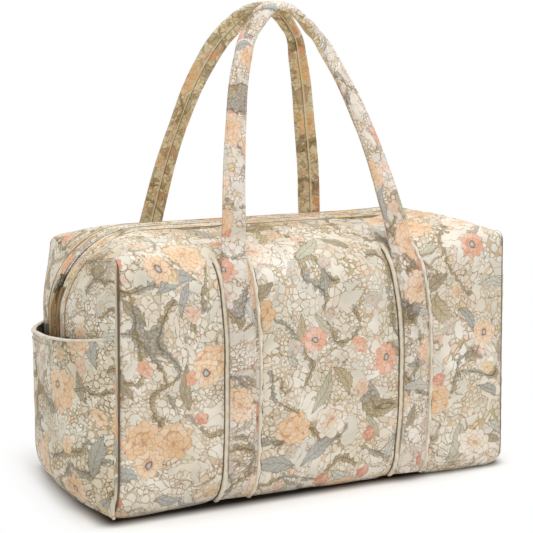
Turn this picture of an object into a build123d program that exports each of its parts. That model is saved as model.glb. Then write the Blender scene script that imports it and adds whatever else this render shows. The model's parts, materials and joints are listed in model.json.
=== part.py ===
from build123d import *
import math
import os

# A soft travel bag: a boxy body of quilted cloth panels, a zip that runs over the top and down
# both ends, a slip pocket on each end and two strap handles sewn to bands on the front and back.
# Millimetres and degrees. +Z is up, the origin is the middle of the base on the floor, X runs
# along the length and the front looks towards -Y.

# Sewn body
body_length = 510.0
body_depth = 264.0
body_height = 315.0
wall = 4.0
end_bulge = 21.0
end_arc_radius = 100.0
end_base_radius = 25.0
ear_drop = 20.0
ear_radius = 14.0
crown_length = 330.0
shoulder_drop = 22.0
shoulder_radius = 48.0
base_radius = 32.0
base_seam_inset = 2.0
seam_inset = 4.0
section_overrun = 6.0
cut_overrun = 40.0

# Zip and the gussets beside it
gusset_reach = 32.0
zip_half_width = 9.0
zip_end_height = 165.0
tape_sink = 1.2
tape_thickness = 1.0
chain_half_width = 2.5
chain_height = 0.6
chain_slit = 1.4
stop_length = 4.0
stop_width = 6.0

# Slider and pull
slider_angle = 28.0
slider_length = 11.0
slider_width = 9.0
slider_plate = 1.2
slider_corner = 2.0
slider_clearance = 0.5
post_length = 4.0
post_thickness = 0.8
post_inset = 1.0
lug_length = 4.0
lug_thickness = 1.0
lug_gap = 4.8
lug_cap = 1.4
pin_diameter = 1.8
pin_clearance = 0.3
eye_wall = 1.0
eye_clearance = 0.4
pull_side_clearance = 0.3
pull_length = 22.0
pull_width = 8.0
pull_thickness = 1.6
pull_corner = 2.5
pull_neck_length = 4.4
pull_hole_diameter = 3.4
pull_hole_inset = 4.5

# Piping in the end seams
piping_width = 3.0
piping_height = 1.6
piping_floor_gap = 6.0

# End pockets
pocket_half_width = 126.0
pocket_bulge = 19.0
pocket_foot_tuck = 4.0
pocket_rim_bulge = 15.0
pocket_foot = 6.0
pocket_rim = 196.0
pocket_wall = 3.0
pocket_floor = 4.0
pocket_seam_gap = 0.25
pocket_belly_shares = (0.30, 0.65)
hem_height = 9.0
hem_thickness = 1.2

# Stiffening board
board_thickness = 3.0
board_side_gap = 10.0
board_corner = 20.0

# Strap bands, bindings and handles
strap_spacing = 224.0
strap_width = 33.0
strap_thickness = 7.0
strap_end_height = 46.0
strap_tail_angle = 42.0
band_width = 48.0
band_thickness = 1.5
band_foot_angle = 46.0
band_top_angle = 38.0
binding_width = 6.0
binding_thickness = 1.8
handle_top = 574.0
handle_gap = 2.0
handle_flare = 10.0
handle_flare_radius = 120.0
handle_haunch = 40.0
handle_crown_radius = 45.0

os.makedirs("parts", exist_ok=True)

# Worked-out places
half_length = body_length / 2
half_depth = body_depth / 2
half_zip_length = half_length + end_bulge
ear_height = body_height - ear_drop
shoulder_height = body_height - shoulder_drop
seam_x = half_length - seam_inset
base_edge_y = half_depth - base_radius
base_seam_y = base_edge_y - base_seam_inset
arc_x = half_zip_length - end_arc_radius
arc_z = body_height - end_arc_radius
shoulder_slope = math.atan2(body_height - shoulder_height, half_depth - gusset_reach)
shoulder_z = shoulder_height - shoulder_radius * math.tan((math.pi / 2 - shoulder_slope) / 2)
shoulder_y = half_depth - shoulder_radius
leg_x = strap_spacing / 2
far = half_zip_length + cut_overrun


def crowned_outline(half_base, side_top, half_top, corner_radius, foot_radius, grow):
    """Section of the body with a sloping crown, every side moved outwards by grow."""
    slope = math.atan2(body_height - side_top, half_base - half_top)
    side_x = half_base + grow
    side_z = side_top + grow * math.tan((math.pi / 2 - slope) / 2)
    top_x = half_top + grow * math.tan(slope / 2)
    top_z = body_height + grow
    with BuildSketch() as outline:
        with BuildLine():
            Polyline(
                (-side_x, -grow),
                (side_x, -grow),
                (side_x, side_z),
                (top_x, top_z),
                (-top_x, top_z),
                (-side_x, side_z),
                close=True,
            )
        make_face()
        fillet(outline.vertices().group_by(Axis.Y)[1], radius=corner_radius + grow)
        fillet(outline.vertices().group_by(Axis.Y)[0], radius=foot_radius + grow)
    return outline.sketch


def zip_outline(grow):
    """Length section of the body in the zip's lane, every side moved outwards by grow."""
    with BuildSketch() as outline:
        with BuildLine():
            foot_start = (half_zip_length - end_base_radius, -grow)
            Line((0, -grow), foot_start)
            foot = JernArc(foot_start, (1, 0), end_base_radius + grow, 90)
            side = Line(foot @ 1, (half_zip_length + grow, arc_z))
            low_turn = JernArc(side @ 1, (0, 1), end_arc_radius + grow, 45)
            high_turn = JernArc(low_turn @ 1, low_turn % 1, end_arc_radius + grow, 45)
            Line(high_turn @ 1, (0, body_height + grow))
            mirror(about=Plane.YZ)
        make_face()
    return outline.sketch


def body_form(grow):
    """The bag's whole outer form, moved outwards by grow."""
    middle = zip_outline(grow)
    face = crowned_outline(half_length, ear_height, crown_length / 2, ear_radius, end_base_radius, grow)
    across = crowned_outline(half_depth, shoulder_height, gusset_reach, shoulder_radius, base_radius, grow)
    with BuildPart() as form:
        with BuildSketch(Plane.XZ):
            add(middle)
        extrude(amount=gusset_reach, both=True)
        for side in (1, -1):
            with BuildSketch(Plane.XZ.offset(side * gusset_reach)):
                add(middle)
            with BuildSketch(Plane.XZ.offset(side * (half_depth + section_overrun))):
                add(face)
            loft(ruled=True)
        with BuildSketch(Plane.YZ):
            add(across)
        extrude(amount=far, both=True, mode=Mode.INTERSECT)
    return form.part


outer_form = body_form(0)
inner_form = body_form(-wall)

with BuildPart() as cloth_shell:
    add(outer_form)
    add(inner_form, mode=Mode.SUBTRACT)


def save(piece, name):
    """Labels a finished piece and writes it to its own file."""
    piece.label = name
    export_step(piece, f"parts/{name}.step")


# Front and back panels: up the face, over the shoulder to the gusset, and under to the base seam
with BuildPart() as front_panel:
    add(cloth_shell.part)
    with BuildSketch(Plane.YZ):
        with BuildLine():
            Polyline(
                (-gusset_reach, far),
                (-far, far),
                (-far, -far),
                (-base_seam_y, -far),
                (-base_seam_y, arc_z),
                (-gusset_reach, arc_z),
                close=True,
            )
        make_face()
    extrude(amount=seam_x, both=True, mode=Mode.INTERSECT)
save(front_panel.part, "front_panel")

with BuildPart() as back_panel:
    mirror(front_panel.part, about=Plane.XZ)
save(back_panel.part, "back_panel")

# Bottom panel, the flat that the bag stands on
with BuildPart() as bottom_panel:
    add(cloth_shell.part)
    with BuildSketch(Plane.XY):
        Rectangle(2 * seam_x, 2 * base_seam_y)
    extrude(amount=arc_z, mode=Mode.INTERSECT)
save(bottom_panel.part, "bottom_panel")

# Stiffening board that lies on the bottom panel
with BuildPart() as base_board:
    with BuildSketch(Plane.XY.offset(wall)):
        RectangleRounded(
            2 * (half_length - end_base_radius - board_side_gap),
            2 * (base_seam_y - board_side_gap),
            board_corner,
        )
    extrude(amount=board_thickness)
save(base_board.part, "base_board")

# End panels: the two sides of the zip and everything below it
with BuildPart() as right_end_panel:
    add(cloth_shell.part)
    with BuildSketch(Plane.YZ.offset(seam_x)):
        Rectangle(2 * far, 2 * far)
        with BuildLine():
            Polyline(
                (-gusset_reach, zip_end_height),
                (gusset_reach, zip_end_height),
                (gusset_reach, far),
                (-gusset_reach, far),
                close=True,
            )
        make_face(mode=Mode.SUBTRACT)
    extrude(amount=far, mode=Mode.INTERSECT)
save(right_end_panel.part, "right_end_panel")

with BuildPart() as left_end_panel:
    mirror(right_end_panel.part, about=Plane.YZ)
save(left_end_panel.part, "left_end_panel")


def zip_lane(near, reach, low, high):
    """A layer of the zip's front lane: near and reach are its sides, low and high its depth."""
    top_side = zip_outline(high)
    under_side = zip_outline(low)
    with BuildPart() as lane:
        with BuildSketch(Plane.XZ.offset(near)):
            add(top_side)
            add(under_side, mode=Mode.SUBTRACT)
            with Locations((0, zip_end_height)):
                Rectangle(2 * far, 2 * far, align=(Align.CENTER, Align.MIN), mode=Mode.INTERSECT)
        extrude(amount=reach - near)
    return lane.part


# Zip gussets beside the zip, tapes sewn to their edges, and rows of teeth as plain rails on the
# tapes, with a slit between the rows for the slider's post
for layer, near, reach, low, high in (
    ("gusset", zip_half_width, gusset_reach, -wall, 0),
    ("tape", chain_slit / 2, zip_half_width, -tape_sink - tape_thickness, -tape_sink),
    ("chain", chain_slit / 2, chain_half_width, -tape_sink, chain_height),
):
    front_layer = zip_lane(near, reach, low, high)
    save(front_layer, f"front_zip_{layer}")
    with BuildPart() as back_layer:
        mirror(front_layer, about=Plane.XZ)
    save(back_layer.part, f"back_zip_{layer}")

# Stops that close the zip at its two ends, seated on the end panels below the teeth
with BuildPart() as right_zip_stop:
    with BuildSketch(Plane.YZ.offset(half_zip_length)):
        with Locations((0, zip_end_height)):
            Rectangle(stop_width, stop_length, align=(Align.CENTER, Align.MAX))
    extrude(amount=chain_height)
save(right_zip_stop.part, "right_zip_stop")

with BuildPart() as left_zip_stop:
    mirror(right_zip_stop.part, about=Plane.YZ)
save(left_zip_stop.part, "left_zip_stop")

# Slider on the left end's arc. Its own plane has X up the zip, Y across it and Z outwards.
slider_turn = math.radians(slider_angle)
zip_normal = Vector(-math.cos(slider_turn), 0, math.sin(slider_turn))
zip_tangent = Vector(math.sin(slider_turn), 0, math.cos(slider_turn))
slider_seat = Plane(
    origin=Vector(-arc_x, 0, arc_z) + zip_normal * end_arc_radius,
    x_dir=zip_tangent,
    z_dir=zip_normal,
)
plate_low = chain_height + slider_clearance
plate_high = plate_low + slider_plate
under_high = -tape_sink - tape_thickness - slider_clearance
eye_radius = pin_diameter / 2 + pin_clearance + eye_wall
pin_z = plate_high + eye_clearance + eye_radius
lug_y = (lug_gap + lug_thickness) / 2

with BuildPart() as zip_slider:
    with BuildSketch(slider_seat.offset(plate_low)):
        RectangleRounded(slider_length, slider_width, slider_corner)
    extrude(amount=slider_plate)
    with BuildSketch(slider_seat.offset(under_high)):
        RectangleRounded(slider_length, slider_width, slider_corner)
    extrude(amount=-slider_plate)
    with BuildSketch(slider_seat.offset(under_high)):
        with Locations((slider_length / 2 - post_inset - post_length / 2, 0)):
            Rectangle(post_length, post_thickness)
    extrude(amount=plate_low - under_high)
    with BuildSketch(slider_seat.offset(plate_high)):
        with Locations((0, lug_y), (0, -lug_y)):
            Rectangle(lug_length, lug_thickness)
    extrude(amount=pin_z + lug_cap - plate_high)
    with BuildSketch(Plane(slider_seat.location * Location((0, -lug_y, pin_z), (90, 0, 0)))):
        Circle(pin_diameter / 2)
    extrude(amount=-2 * lug_y)
save(zip_slider.part, "zip_slider")

# Pull, an eye round the slider's pin and a flat tab that lies down the zip
with BuildPart() as zip_pull:
    eye_width = lug_gap - 2 * pull_side_clearance
    with BuildSketch(Plane(slider_seat.location * Location((0, -eye_width / 2, pin_z), (90, 0, 0)))):
        Circle(eye_radius)
    extrude(amount=-eye_width)
    with BuildSketch(slider_seat.offset(pin_z - pull_thickness / 2)):
        with Locations((-pull_neck_length / 2, 0)):
            Rectangle(pull_neck_length, eye_width)
        with Locations((-(pull_neck_length + pull_length) / 2, 0)):
            RectangleRounded(pull_length - pull_neck_length, pull_width, pull_corner)
        with Locations((-pull_length + pull_hole_inset, 0)):
            Circle(pull_hole_diameter / 2, mode=Mode.SUBTRACT)
    extrude(amount=pull_thickness)
    with BuildSketch(Plane(slider_seat.location * Location((0, -eye_width, pin_z), (90, 0, 0)))):
        Circle(pin_diameter / 2 + pin_clearance)
    extrude(amount=-2 * eye_width, mode=Mode.SUBTRACT)
save(zip_pull.part, "zip_pull")

# Piping, a cord let into each seam between an end and the front or back panel
piping_form = body_form(piping_height)
with BuildPart() as right_front_piping:
    add(piping_form)
    add(outer_form, mode=Mode.SUBTRACT)
    with BuildSketch(Plane.YZ.offset(seam_x - piping_width / 2)):
        with BuildLine():
            Polyline(
                (-gusset_reach, far),
                (-far, far),
                (-far, piping_floor_gap),
                (-base_seam_y, piping_floor_gap),
                (-base_seam_y, arc_z),
                (-gusset_reach, arc_z),
                close=True,
            )
        make_face()
    extrude(amount=piping_width, mode=Mode.INTERSECT)
save(right_front_piping.part, "right_front_piping")

for name, planes in (
    ("left_front_piping", (Plane.YZ,)),
    ("right_back_piping", (Plane.XZ,)),
    ("left_back_piping", (Plane.YZ, Plane.XZ)),
):
    placed = right_front_piping.part
    for plane in planes:
        placed = mirror(placed, about=plane, mode=Mode.PRIVATE)
    with BuildPart() as piping:
        add(placed)
    save(piping.part, name)


def pocket_form(grow, low, high):
    """Outer form of the right end's pocket, its face moved outwards by grow, from low to high."""
    pocket_rise = pocket_rim - pocket_foot
    belly_low, belly_high = (pocket_foot + share * pocket_rise for share in pocket_belly_shares)
    across = crowned_outline(half_depth, shoulder_height, gusset_reach, shoulder_radius, base_radius, 0)
    with BuildPart() as form:
        for level, bulge in (
            (pocket_foot, -pocket_foot_tuck),
            (belly_low, pocket_bulge),
            (belly_high, pocket_bulge),
            (pocket_rim, pocket_rim_bulge),
            (pocket_rim + cut_overrun, pocket_rim_bulge),
        ):
            with BuildSketch(Plane.XY.offset(level)):
                with BuildLine():
                    face = ThreePointArc(
                        (seam_x, -pocket_half_width - grow),
                        (half_zip_length + bulge + grow, 0),
                        (seam_x, pocket_half_width + grow),
                    )
                    Polyline(face @ 1, (arc_x, pocket_half_width + grow),
                             (arc_x, -pocket_half_width - grow), face @ 0)
                make_face()
        loft()
        with BuildSketch(Plane.XY.offset(low)):
            Rectangle(2 * far, 2 * far)
        extrude(amount=high - low, mode=Mode.INTERSECT)
        with BuildSketch(Plane.YZ.offset(seam_x + piping_width)):
            add(across)
        extrude(amount=far, mode=Mode.INTERSECT)
    return form.part


# Pockets: a bellied sheet sewn to the end panel at its sides and foot, open at the rim
pocket_seat = body_form(pocket_seam_gap)
pocket_inside = pocket_form(-pocket_wall, pocket_foot + pocket_floor, pocket_rim + cut_overrun / 2)
hem_low = pocket_rim - hem_height
pocket_outside = pocket_form(0, pocket_foot, hem_low)
hem_outside = pocket_form(hem_thickness, hem_low, pocket_rim)

for outside, name in ((pocket_outside, "pocket"), (hem_outside, "pocket_hem")):
    with BuildPart() as right_pocket:
        add(outside)
        add(pocket_inside, mode=Mode.SUBTRACT)
        add(pocket_seat, mode=Mode.SUBTRACT)
    save(right_pocket.part, f"right_{name}")
    with BuildPart() as left_pocket:
        mirror(right_pocket.part, about=Plane.YZ)
    save(left_pocket.part, f"left_{name}")


def front_strip(x, width, inner, thickness, foot, foot_wrap, top_wrap):
    """A strip that lies on the front face from foot to the shoulder and wraps round both ends."""
    y = -(half_depth + inner + thickness / 2)
    with BuildPart() as strip:
        with BuildSketch(Plane.XY.offset(foot)):
            with Locations((x, y)):
                Rectangle(width, thickness)
        extrude(amount=shoulder_z - foot)
        with BuildSketch(Plane.XY.offset(shoulder_z)):
            with Locations((x, y)):
                Rectangle(width, thickness)
        revolve(axis=Axis((0, -shoulder_y, shoulder_z), (-1, 0, 0)), revolution_arc=top_wrap)
        if foot_wrap:
            with BuildSketch(Plane.XY.offset(foot)):
                with Locations((x, y)):
                    Rectangle(width, thickness)
            revolve(axis=Axis((0, -base_edge_y, base_radius), (1, 0, 0)), revolution_arc=foot_wrap)
    return strip.part


# Strap bands and their cream edge bindings
binding_x = (band_width - binding_width) / 2
for side_name, side in (("left", -1), ("right", 1)):
    band = front_strip(side * leg_x, band_width, 0, band_thickness,
                       base_radius, band_foot_angle, band_top_angle)
    save(band, f"front_{side_name}_band")
    with BuildPart() as back_band:
        mirror(band, about=Plane.XZ)
    save(back_band.part, f"back_{side_name}_band")
    with BuildPart() as front_bindings:
        for edge in (-1, 1):
            add(front_strip(side * leg_x + edge * binding_x, binding_width, band_thickness,
                            binding_thickness, base_radius, band_foot_angle, band_top_angle))
    save(front_bindings.part, f"front_{side_name}_bindings")
    with BuildPart() as back_bindings:
        mirror(front_bindings.part, about=Plane.XZ)
    save(back_bindings.part, f"back_{side_name}_bindings")

# Handles: each strap is sewn down on its bands, leaves them round the shoulder and leans in until
# the two crowns nearly meet over the zip.
strap_turn = shoulder_radius + band_thickness + strap_thickness / 2
crown_edge_y = shoulder_y - (handle_gap + strap_thickness) / 2
crown_edge_z = handle_top - shoulder_z
crown_reach = math.hypot(crown_edge_y, crown_edge_z)
lean = math.atan2(crown_edge_y, crown_edge_z) + math.asin(strap_turn / crown_reach)
rise = math.sqrt(crown_reach**2 - strap_turn**2) - strap_width / 2
arch_plane = Plane(
    origin=(0, -shoulder_y - strap_turn * math.cos(lean), shoulder_z + strap_turn * math.sin(lean)),
    x_dir=(1, 0, 0),
    z_dir=(0, -math.cos(lean), math.sin(lean)),
)

# The leg's straight run and the haunch radius follow from the arch's half width and rise
flare = math.radians(handle_flare)
haunch = math.radians(handle_haunch)
half_left = leg_x - handle_flare_radius * (1 - math.cos(flare)) - handle_crown_radius * math.cos(haunch)
rise_left = rise - handle_flare_radius * math.sin(flare) - handle_crown_radius * (1 - math.sin(haunch))
haunch_half = math.cos(flare) - math.cos(haunch)
haunch_rise = math.sin(haunch) - math.sin(flare)
spread = math.sin(flare) * haunch_rise - math.cos(flare) * haunch_half
leg_run = (half_left * haunch_rise - rise_left * haunch_half) / spread
haunch_radius = (math.sin(flare) * rise_left - math.cos(flare) * half_left) / spread


def arch_face():
    """Flat outline of the arch between the two sewn legs, in the arch's own plane."""
    with BuildSketch() as arch:
        with BuildLine():
            for offset in (strap_width / 2, -strap_width / 2):
                turn = JernArc((leg_x + offset, 0), (0, 1), handle_flare_radius + offset, handle_flare)
                leg = Line(turn @ 1, turn @ 1 + (turn % 1) * leg_run)
                bend = JernArc(leg @ 1, leg % 1, haunch_radius + offset, handle_haunch - handle_flare)
                JernArc(bend @ 1, bend % 1, handle_crown_radius + offset, 90 - handle_haunch)
            Line((leg_x - strap_width / 2, 0), (leg_x + strap_width / 2, 0))
            mirror(about=Plane.YZ)
        make_face()
    return arch.sketch


arch = arch_face()
wrap = math.degrees(lean)
left_leg = front_strip(-leg_x, strap_width, band_thickness, strap_thickness, strap_end_height, 0, wrap)
right_leg = front_strip(leg_x, strap_width, band_thickness, strap_thickness,
                        base_radius, strap_tail_angle, wrap)
with BuildPart() as front_handle:
    add(left_leg)
    add(right_leg)
    with BuildSketch(arch_plane):
        add(arch)
    extrude(amount=strap_thickness / 2, both=True)
save(front_handle.part, "front_handle")

with BuildPart() as back_handle:
    mirror(front_handle.part, about=Plane.XZ)
save(back_handle.part, "back_handle")
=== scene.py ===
"""Looks of a flowered cloth travel bag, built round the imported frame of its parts.

The panels, pockets, straps and edge trims are soft sheets and pads sewn over one lofted body form.
All sizes are in metres and in the frame's own axes.
"""

import json
import logging
import math
from dataclasses import dataclass, field
from enum import Enum
from typing import Callable, Optional, Union

import bmesh
import bpy
from mathutils import Matrix, Vector, noise
from mathutils.bvhtree import BVHTree

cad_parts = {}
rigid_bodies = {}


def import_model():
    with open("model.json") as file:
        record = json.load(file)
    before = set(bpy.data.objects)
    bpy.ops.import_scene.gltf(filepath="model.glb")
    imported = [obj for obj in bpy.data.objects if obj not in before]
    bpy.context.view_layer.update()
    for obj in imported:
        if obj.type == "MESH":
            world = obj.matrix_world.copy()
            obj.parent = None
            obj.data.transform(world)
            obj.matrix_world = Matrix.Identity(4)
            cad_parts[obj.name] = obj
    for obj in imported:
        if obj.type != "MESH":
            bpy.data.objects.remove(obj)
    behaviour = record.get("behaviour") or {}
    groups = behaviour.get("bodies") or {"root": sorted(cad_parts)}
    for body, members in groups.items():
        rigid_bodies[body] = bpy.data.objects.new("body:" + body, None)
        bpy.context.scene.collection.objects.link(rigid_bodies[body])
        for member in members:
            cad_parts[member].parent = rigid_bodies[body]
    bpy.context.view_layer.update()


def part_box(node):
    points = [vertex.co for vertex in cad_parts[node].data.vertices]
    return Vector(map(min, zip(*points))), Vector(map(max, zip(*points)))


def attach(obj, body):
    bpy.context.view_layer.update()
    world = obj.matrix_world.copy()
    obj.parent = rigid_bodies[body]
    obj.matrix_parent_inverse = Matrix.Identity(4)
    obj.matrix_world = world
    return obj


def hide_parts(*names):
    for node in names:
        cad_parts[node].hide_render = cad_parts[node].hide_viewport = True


LOG = logging.getLogger("carpet_bag")
CHART = "cloth_chart"

Place = Callable[[float, float], Vector]
Chart = Callable[[float, float], tuple[float, float]]
Relief = Callable[[float, float], float]
Number = Union[float, "Val"]
Colour = tuple[float, float, float, float]


def ink(red: int, green: int, blue: int) -> Colour:
    """A linear colour from the red, green and blue of a screen colour, each from 0 to 255."""
    return tuple([((c / 255) / 12.92 if c <= 10 else ((c / 255 + 0.055) / 1.055) ** 2.4)
                  for c in (red, green, blue)] + [1.0])


def clamp(value: float, low: float = 0.0, high: float = 1.0) -> float:
    """The value, held between low and high."""
    return max(low, min(high, value))


def ease(value: float) -> float:
    """A smooth step from 0 to 1."""
    held = clamp(value)
    return held * held * (3 - 2 * held)


def lerp(start: float, end: float, share: float) -> float:
    """The value that lies at a share of the way from start to end."""
    return start + (end - start) * share


def along_table(rows: tuple[tuple[float, float], ...], at: float) -> float:
    """The value that a table of places and values gives between its rows."""
    for (start, low), (end, high) in zip(rows, rows[1:]):
        if at <= end:
            return lerp(low, high, clamp((at - start) / (end - start)))
    return rows[-1][1]


def soft_low(a: float, b: float, blend: float) -> float:
    """The lower of two values, rounded over within a blend length."""
    if blend <= 0:
        return min(a, b)
    share = clamp(0.5 + 0.5 * (b - a) / blend)
    return lerp(b, a, share) - blend * share * (1 - share)


def soft_high(a: float, b: float, blend: float) -> float:
    """The higher of two values, rounded over within a blend length."""
    return -soft_low(-a, -b, blend)


def squared(value: float, power: float) -> float:
    """A power of a value that keeps its sign, which squares off a round outline."""
    return math.copysign(abs(value) ** power, value)


class Side(Enum):
    """The two long sides or the two ends of the bag, by the sign of their axis."""

    LOW = -1
    HIGH = 1

    @property
    def sign(self) -> int:
        """The side's sign along its axis."""
        return self.value

    def word(self, low: str, high: str) -> str:
        """The name part that belongs to this side."""
        return low if self is Side.LOW else high

    @property
    def face(self) -> str:
        """The long side's name."""
        return self.word("front", "back")

    @property
    def hand(self) -> str:
        """The end's name, or the name of a strap's leg on that hand."""
        return self.word("left", "right")


# Shader building


def math_node(operation: str, flipped: bool = False) -> Callable[..., "Val"]:
    """A method of Val that adds one Math node.

    Args:
        operation: The node's operation.
        flipped: True where the other value comes first.

    Returns:
        The method.
    """

    def method(self: "Val", *others: Number) -> "Val":
        """Adds the node for this value and the others."""
        values = (*others, self) if flipped else (self, *others)
        return self.graph.node("ShaderNodeMath", {"operation": operation}, dict(enumerate(values)))

    return method


class Val:
    """A number socket of a shader, with Python's operators and a few functions."""

    __add__, __radd__ = math_node("ADD"), math_node("ADD", True)
    __sub__, __rsub__ = math_node("SUBTRACT"), math_node("SUBTRACT", True)
    __mul__, __rmul__ = math_node("MULTIPLY"), math_node("MULTIPLY", True)
    __truediv__, __lt__, __gt__ = math_node("DIVIDE"), math_node("LESS_THAN"), math_node("GREATER_THAN")
    size, root = math_node("ABSOLUTE"), math_node("SQRT")
    least, most = math_node("MINIMUM"), math_node("MAXIMUM")
    sine, cosine, angle_to = math_node("SINE"), math_node("COSINE"), math_node("ARCTAN2")

    def __init__(self, graph: "Graph", socket: bpy.types.NodeSocket) -> None:
        """Keeps the socket and the graph that it belongs to."""
        self.graph = graph
        self.socket = socket

    def step(self, low: Number, high: Number) -> "Val":
        """A smooth step: 0 at low and 1 at high, which may be the lower number."""
        return self.graph.node("ShaderNodeMapRange", {"interpolation_type": "SMOOTHSTEP"},
                               {0: self, 1: low, 2: high, 3: 0.0, 4: 1.0})

    def under(self, edge: Number, softness: float) -> "Val":
        """One below the edge and 0 above it, with a soft border."""
        return (edge - self if isinstance(edge, Val) else (self * -1 + edge)).step(-softness, softness)


@dataclass
class Point:
    """The two coordinates of a place on a flat cloth, as numbers of a shader."""

    across: Val
    along: Val

    def reach(self) -> Val:
        """The distance from the origin."""
        return (self.across * self.across + self.along * self.along).root()


class Graph:
    """The node tree of one material or world, with one method that adds any node."""

    def __init__(self, block: Union[bpy.types.Material, bpy.types.World]) -> None:
        """Empties the node tree of a new material or world."""
        self.block = block
        block.use_nodes = True
        self.tree = block.node_tree
        self.tree.nodes.clear()

    @classmethod
    def of_material(cls, name: str) -> "Graph":
        """The graph of a new material."""
        return cls(bpy.data.materials.new(name))

    def node(self, kind: str, settings: Optional[dict] = None, inputs: Optional[dict] = None,
             out: Union[int, str] = 0) -> Val:
        """Adds one node.

        Args:
            kind: The node's type.
            settings: Its settings, set before its sockets. "stops" are a ramp's places and colours.
            inputs: Values or links by the socket's place or name.
            out: The output that is returned.

        Returns:
            The output socket, wrapped.
        """
        made = self.tree.nodes.new(kind)
        for key, value in (settings or {}).items():
            if key == "stops":
                ramp = made.color_ramp.elements
                while len(ramp) < len(value):
                    ramp.new(0.5)
                for element, (place, colour) in zip(ramp, value):
                    element.position = place
                    element.color = colour
            elif key == "interpolation":
                made.color_ramp.interpolation = value
            else:
                setattr(made, key, value)
        for key, value in (inputs or {}).items():
            if isinstance(value, Val):
                self.tree.links.new(value.socket, made.inputs[key])
            else:
                made.inputs[key].default_value = value
        return Val(self, made.outputs[out])

    def blend(self, share: Number, low: Union[Val, Colour], high: Union[Val, Colour],
              way: str = "MIX") -> Val:
        """A colour between two colours.

        Args:
            share: How much of the high colour shows.
            low: The colour at share 0.
            high: The colour at share 1.
            way: How the colours join.

        Returns:
            The mixed colour.
        """
        return self.node("ShaderNodeMix", {"data_type": "RGBA", "blend_type": way},
                         {0: share, 6: low, 7: high}, 2)

    def chart(self, turn: tuple[float, float] = (0.0, 0.0)) -> tuple[Val, Point]:
        """The cloth's own flat coordinates, in metres.

        Args:
            turn: An offset that is added to them.

        Returns:
            The vector and its two parts.
        """
        flat = self.node("ShaderNodeUVMap", {"uv_map": CHART})
        moved = self.node("ShaderNodeVectorMath", {"operation": "ADD"}, {0: flat, 1: (*turn, 0.0)})
        return moved, self.split(moved)

    def split(self, vector: Val) -> Point:
        """The first two parts of a vector."""
        node = self.node("ShaderNodeSeparateXYZ", None, {0: vector}).socket.node
        return Point(Val(self, node.outputs[0]), Val(self, node.outputs[1]))

    def join(self, across: Number, along: Number, depth: Number = 0.0) -> Val:
        """A vector from its parts."""
        return self.node("ShaderNodeCombineXYZ", None, {0: across, 1: along, 2: depth})

    def grain(self, vector: Val, scale: float, detail: float = 2.0, rough: float = 0.5) -> Val:
        """A cloudy value from 0 to 1 over the vector."""
        return self.node("ShaderNodeTexNoise", {"noise_dimensions": "3D"},
                         {"Vector": vector, "Scale": scale, "Detail": detail, "Roughness": rough})

    def shifted(self, vector: Val, scale: float, amount: float) -> Val:
        """The vector, pushed about by a cloudy field so that straight edges wander."""
        cloud = self.node("ShaderNodeTexNoise", {"noise_dimensions": "3D"},
                          {"Vector": vector, "Scale": scale, "Detail": 2.0}, 1)
        centred = self.node("ShaderNodeVectorMath", {"operation": "SUBTRACT"},
                            {0: cloud, 1: (0.5, 0.5, 0.5)})
        sized = self.node("ShaderNodeVectorMath", {"operation": "SCALE"}, {0: centred, "Scale": amount})
        return self.node("ShaderNodeVectorMath", {"operation": "ADD"}, {0: vector, 1: sized})

    def finish(self, colour: Union[Val, Colour], roughness: Number, normal: Optional[Val] = None,
               constants: Optional[dict] = None) -> bpy.types.Material:
        """Adds the surface shader and the output.

        Args:
            colour: Base colour.
            roughness: Roughness.
            normal: A normal from a Bump node.
            constants: Plain numbers and colours for other sockets.

        Returns:
            The finished material.
        """
        inputs = {"Base Color": colour, "Roughness": roughness, **(constants or {})}
        if normal is not None:
            inputs["Normal"] = normal
        surface = self.node("ShaderNodeBsdfPrincipled", None, inputs)
        self.show(surface)
        return self.block

    def show(self, surface: Val, output: str = "ShaderNodeOutputMaterial") -> None:
        """Links a shader to the output."""
        self.tree.links.new(surface.socket, self.tree.nodes.new(output).inputs["Surface"])

    def bump(self, strength: float, distance: float, height: Val) -> Val:
        """A normal that leans with a height."""
        values = {"Strength": strength, "Distance": distance, "Height": height}
        return self.node("ShaderNodeBump", None, values)

    def seen(self, *more: str) -> Val:
        """One for rays from the camera and off glossy faces, and for the other rays that are named."""
        rays = self.node("ShaderNodeLightPath").socket.node
        value = Val(self, rays.outputs["Is Camera Ray"])
        for name in ("Is Glossy Ray", *more):
            value = value.most(Val(self, rays.outputs[name]))
        return value


# Finishes


@dataclass
class Mosaic:
    """A field of drawn cells: depth inside a cell in metres, the cell's centre and its chances."""

    depth: Val
    centre: Val
    chance: Point


@dataclass(frozen=True)
class Bloom:
    """How one kind of blossom is scattered and drawn."""

    scale: float
    radius: float
    shift: tuple[float, float]
    shown: float
    petals: tuple[float, float]
    lobes: float
    heart: float
    tints: tuple[str, ...]
    line: str


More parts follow.
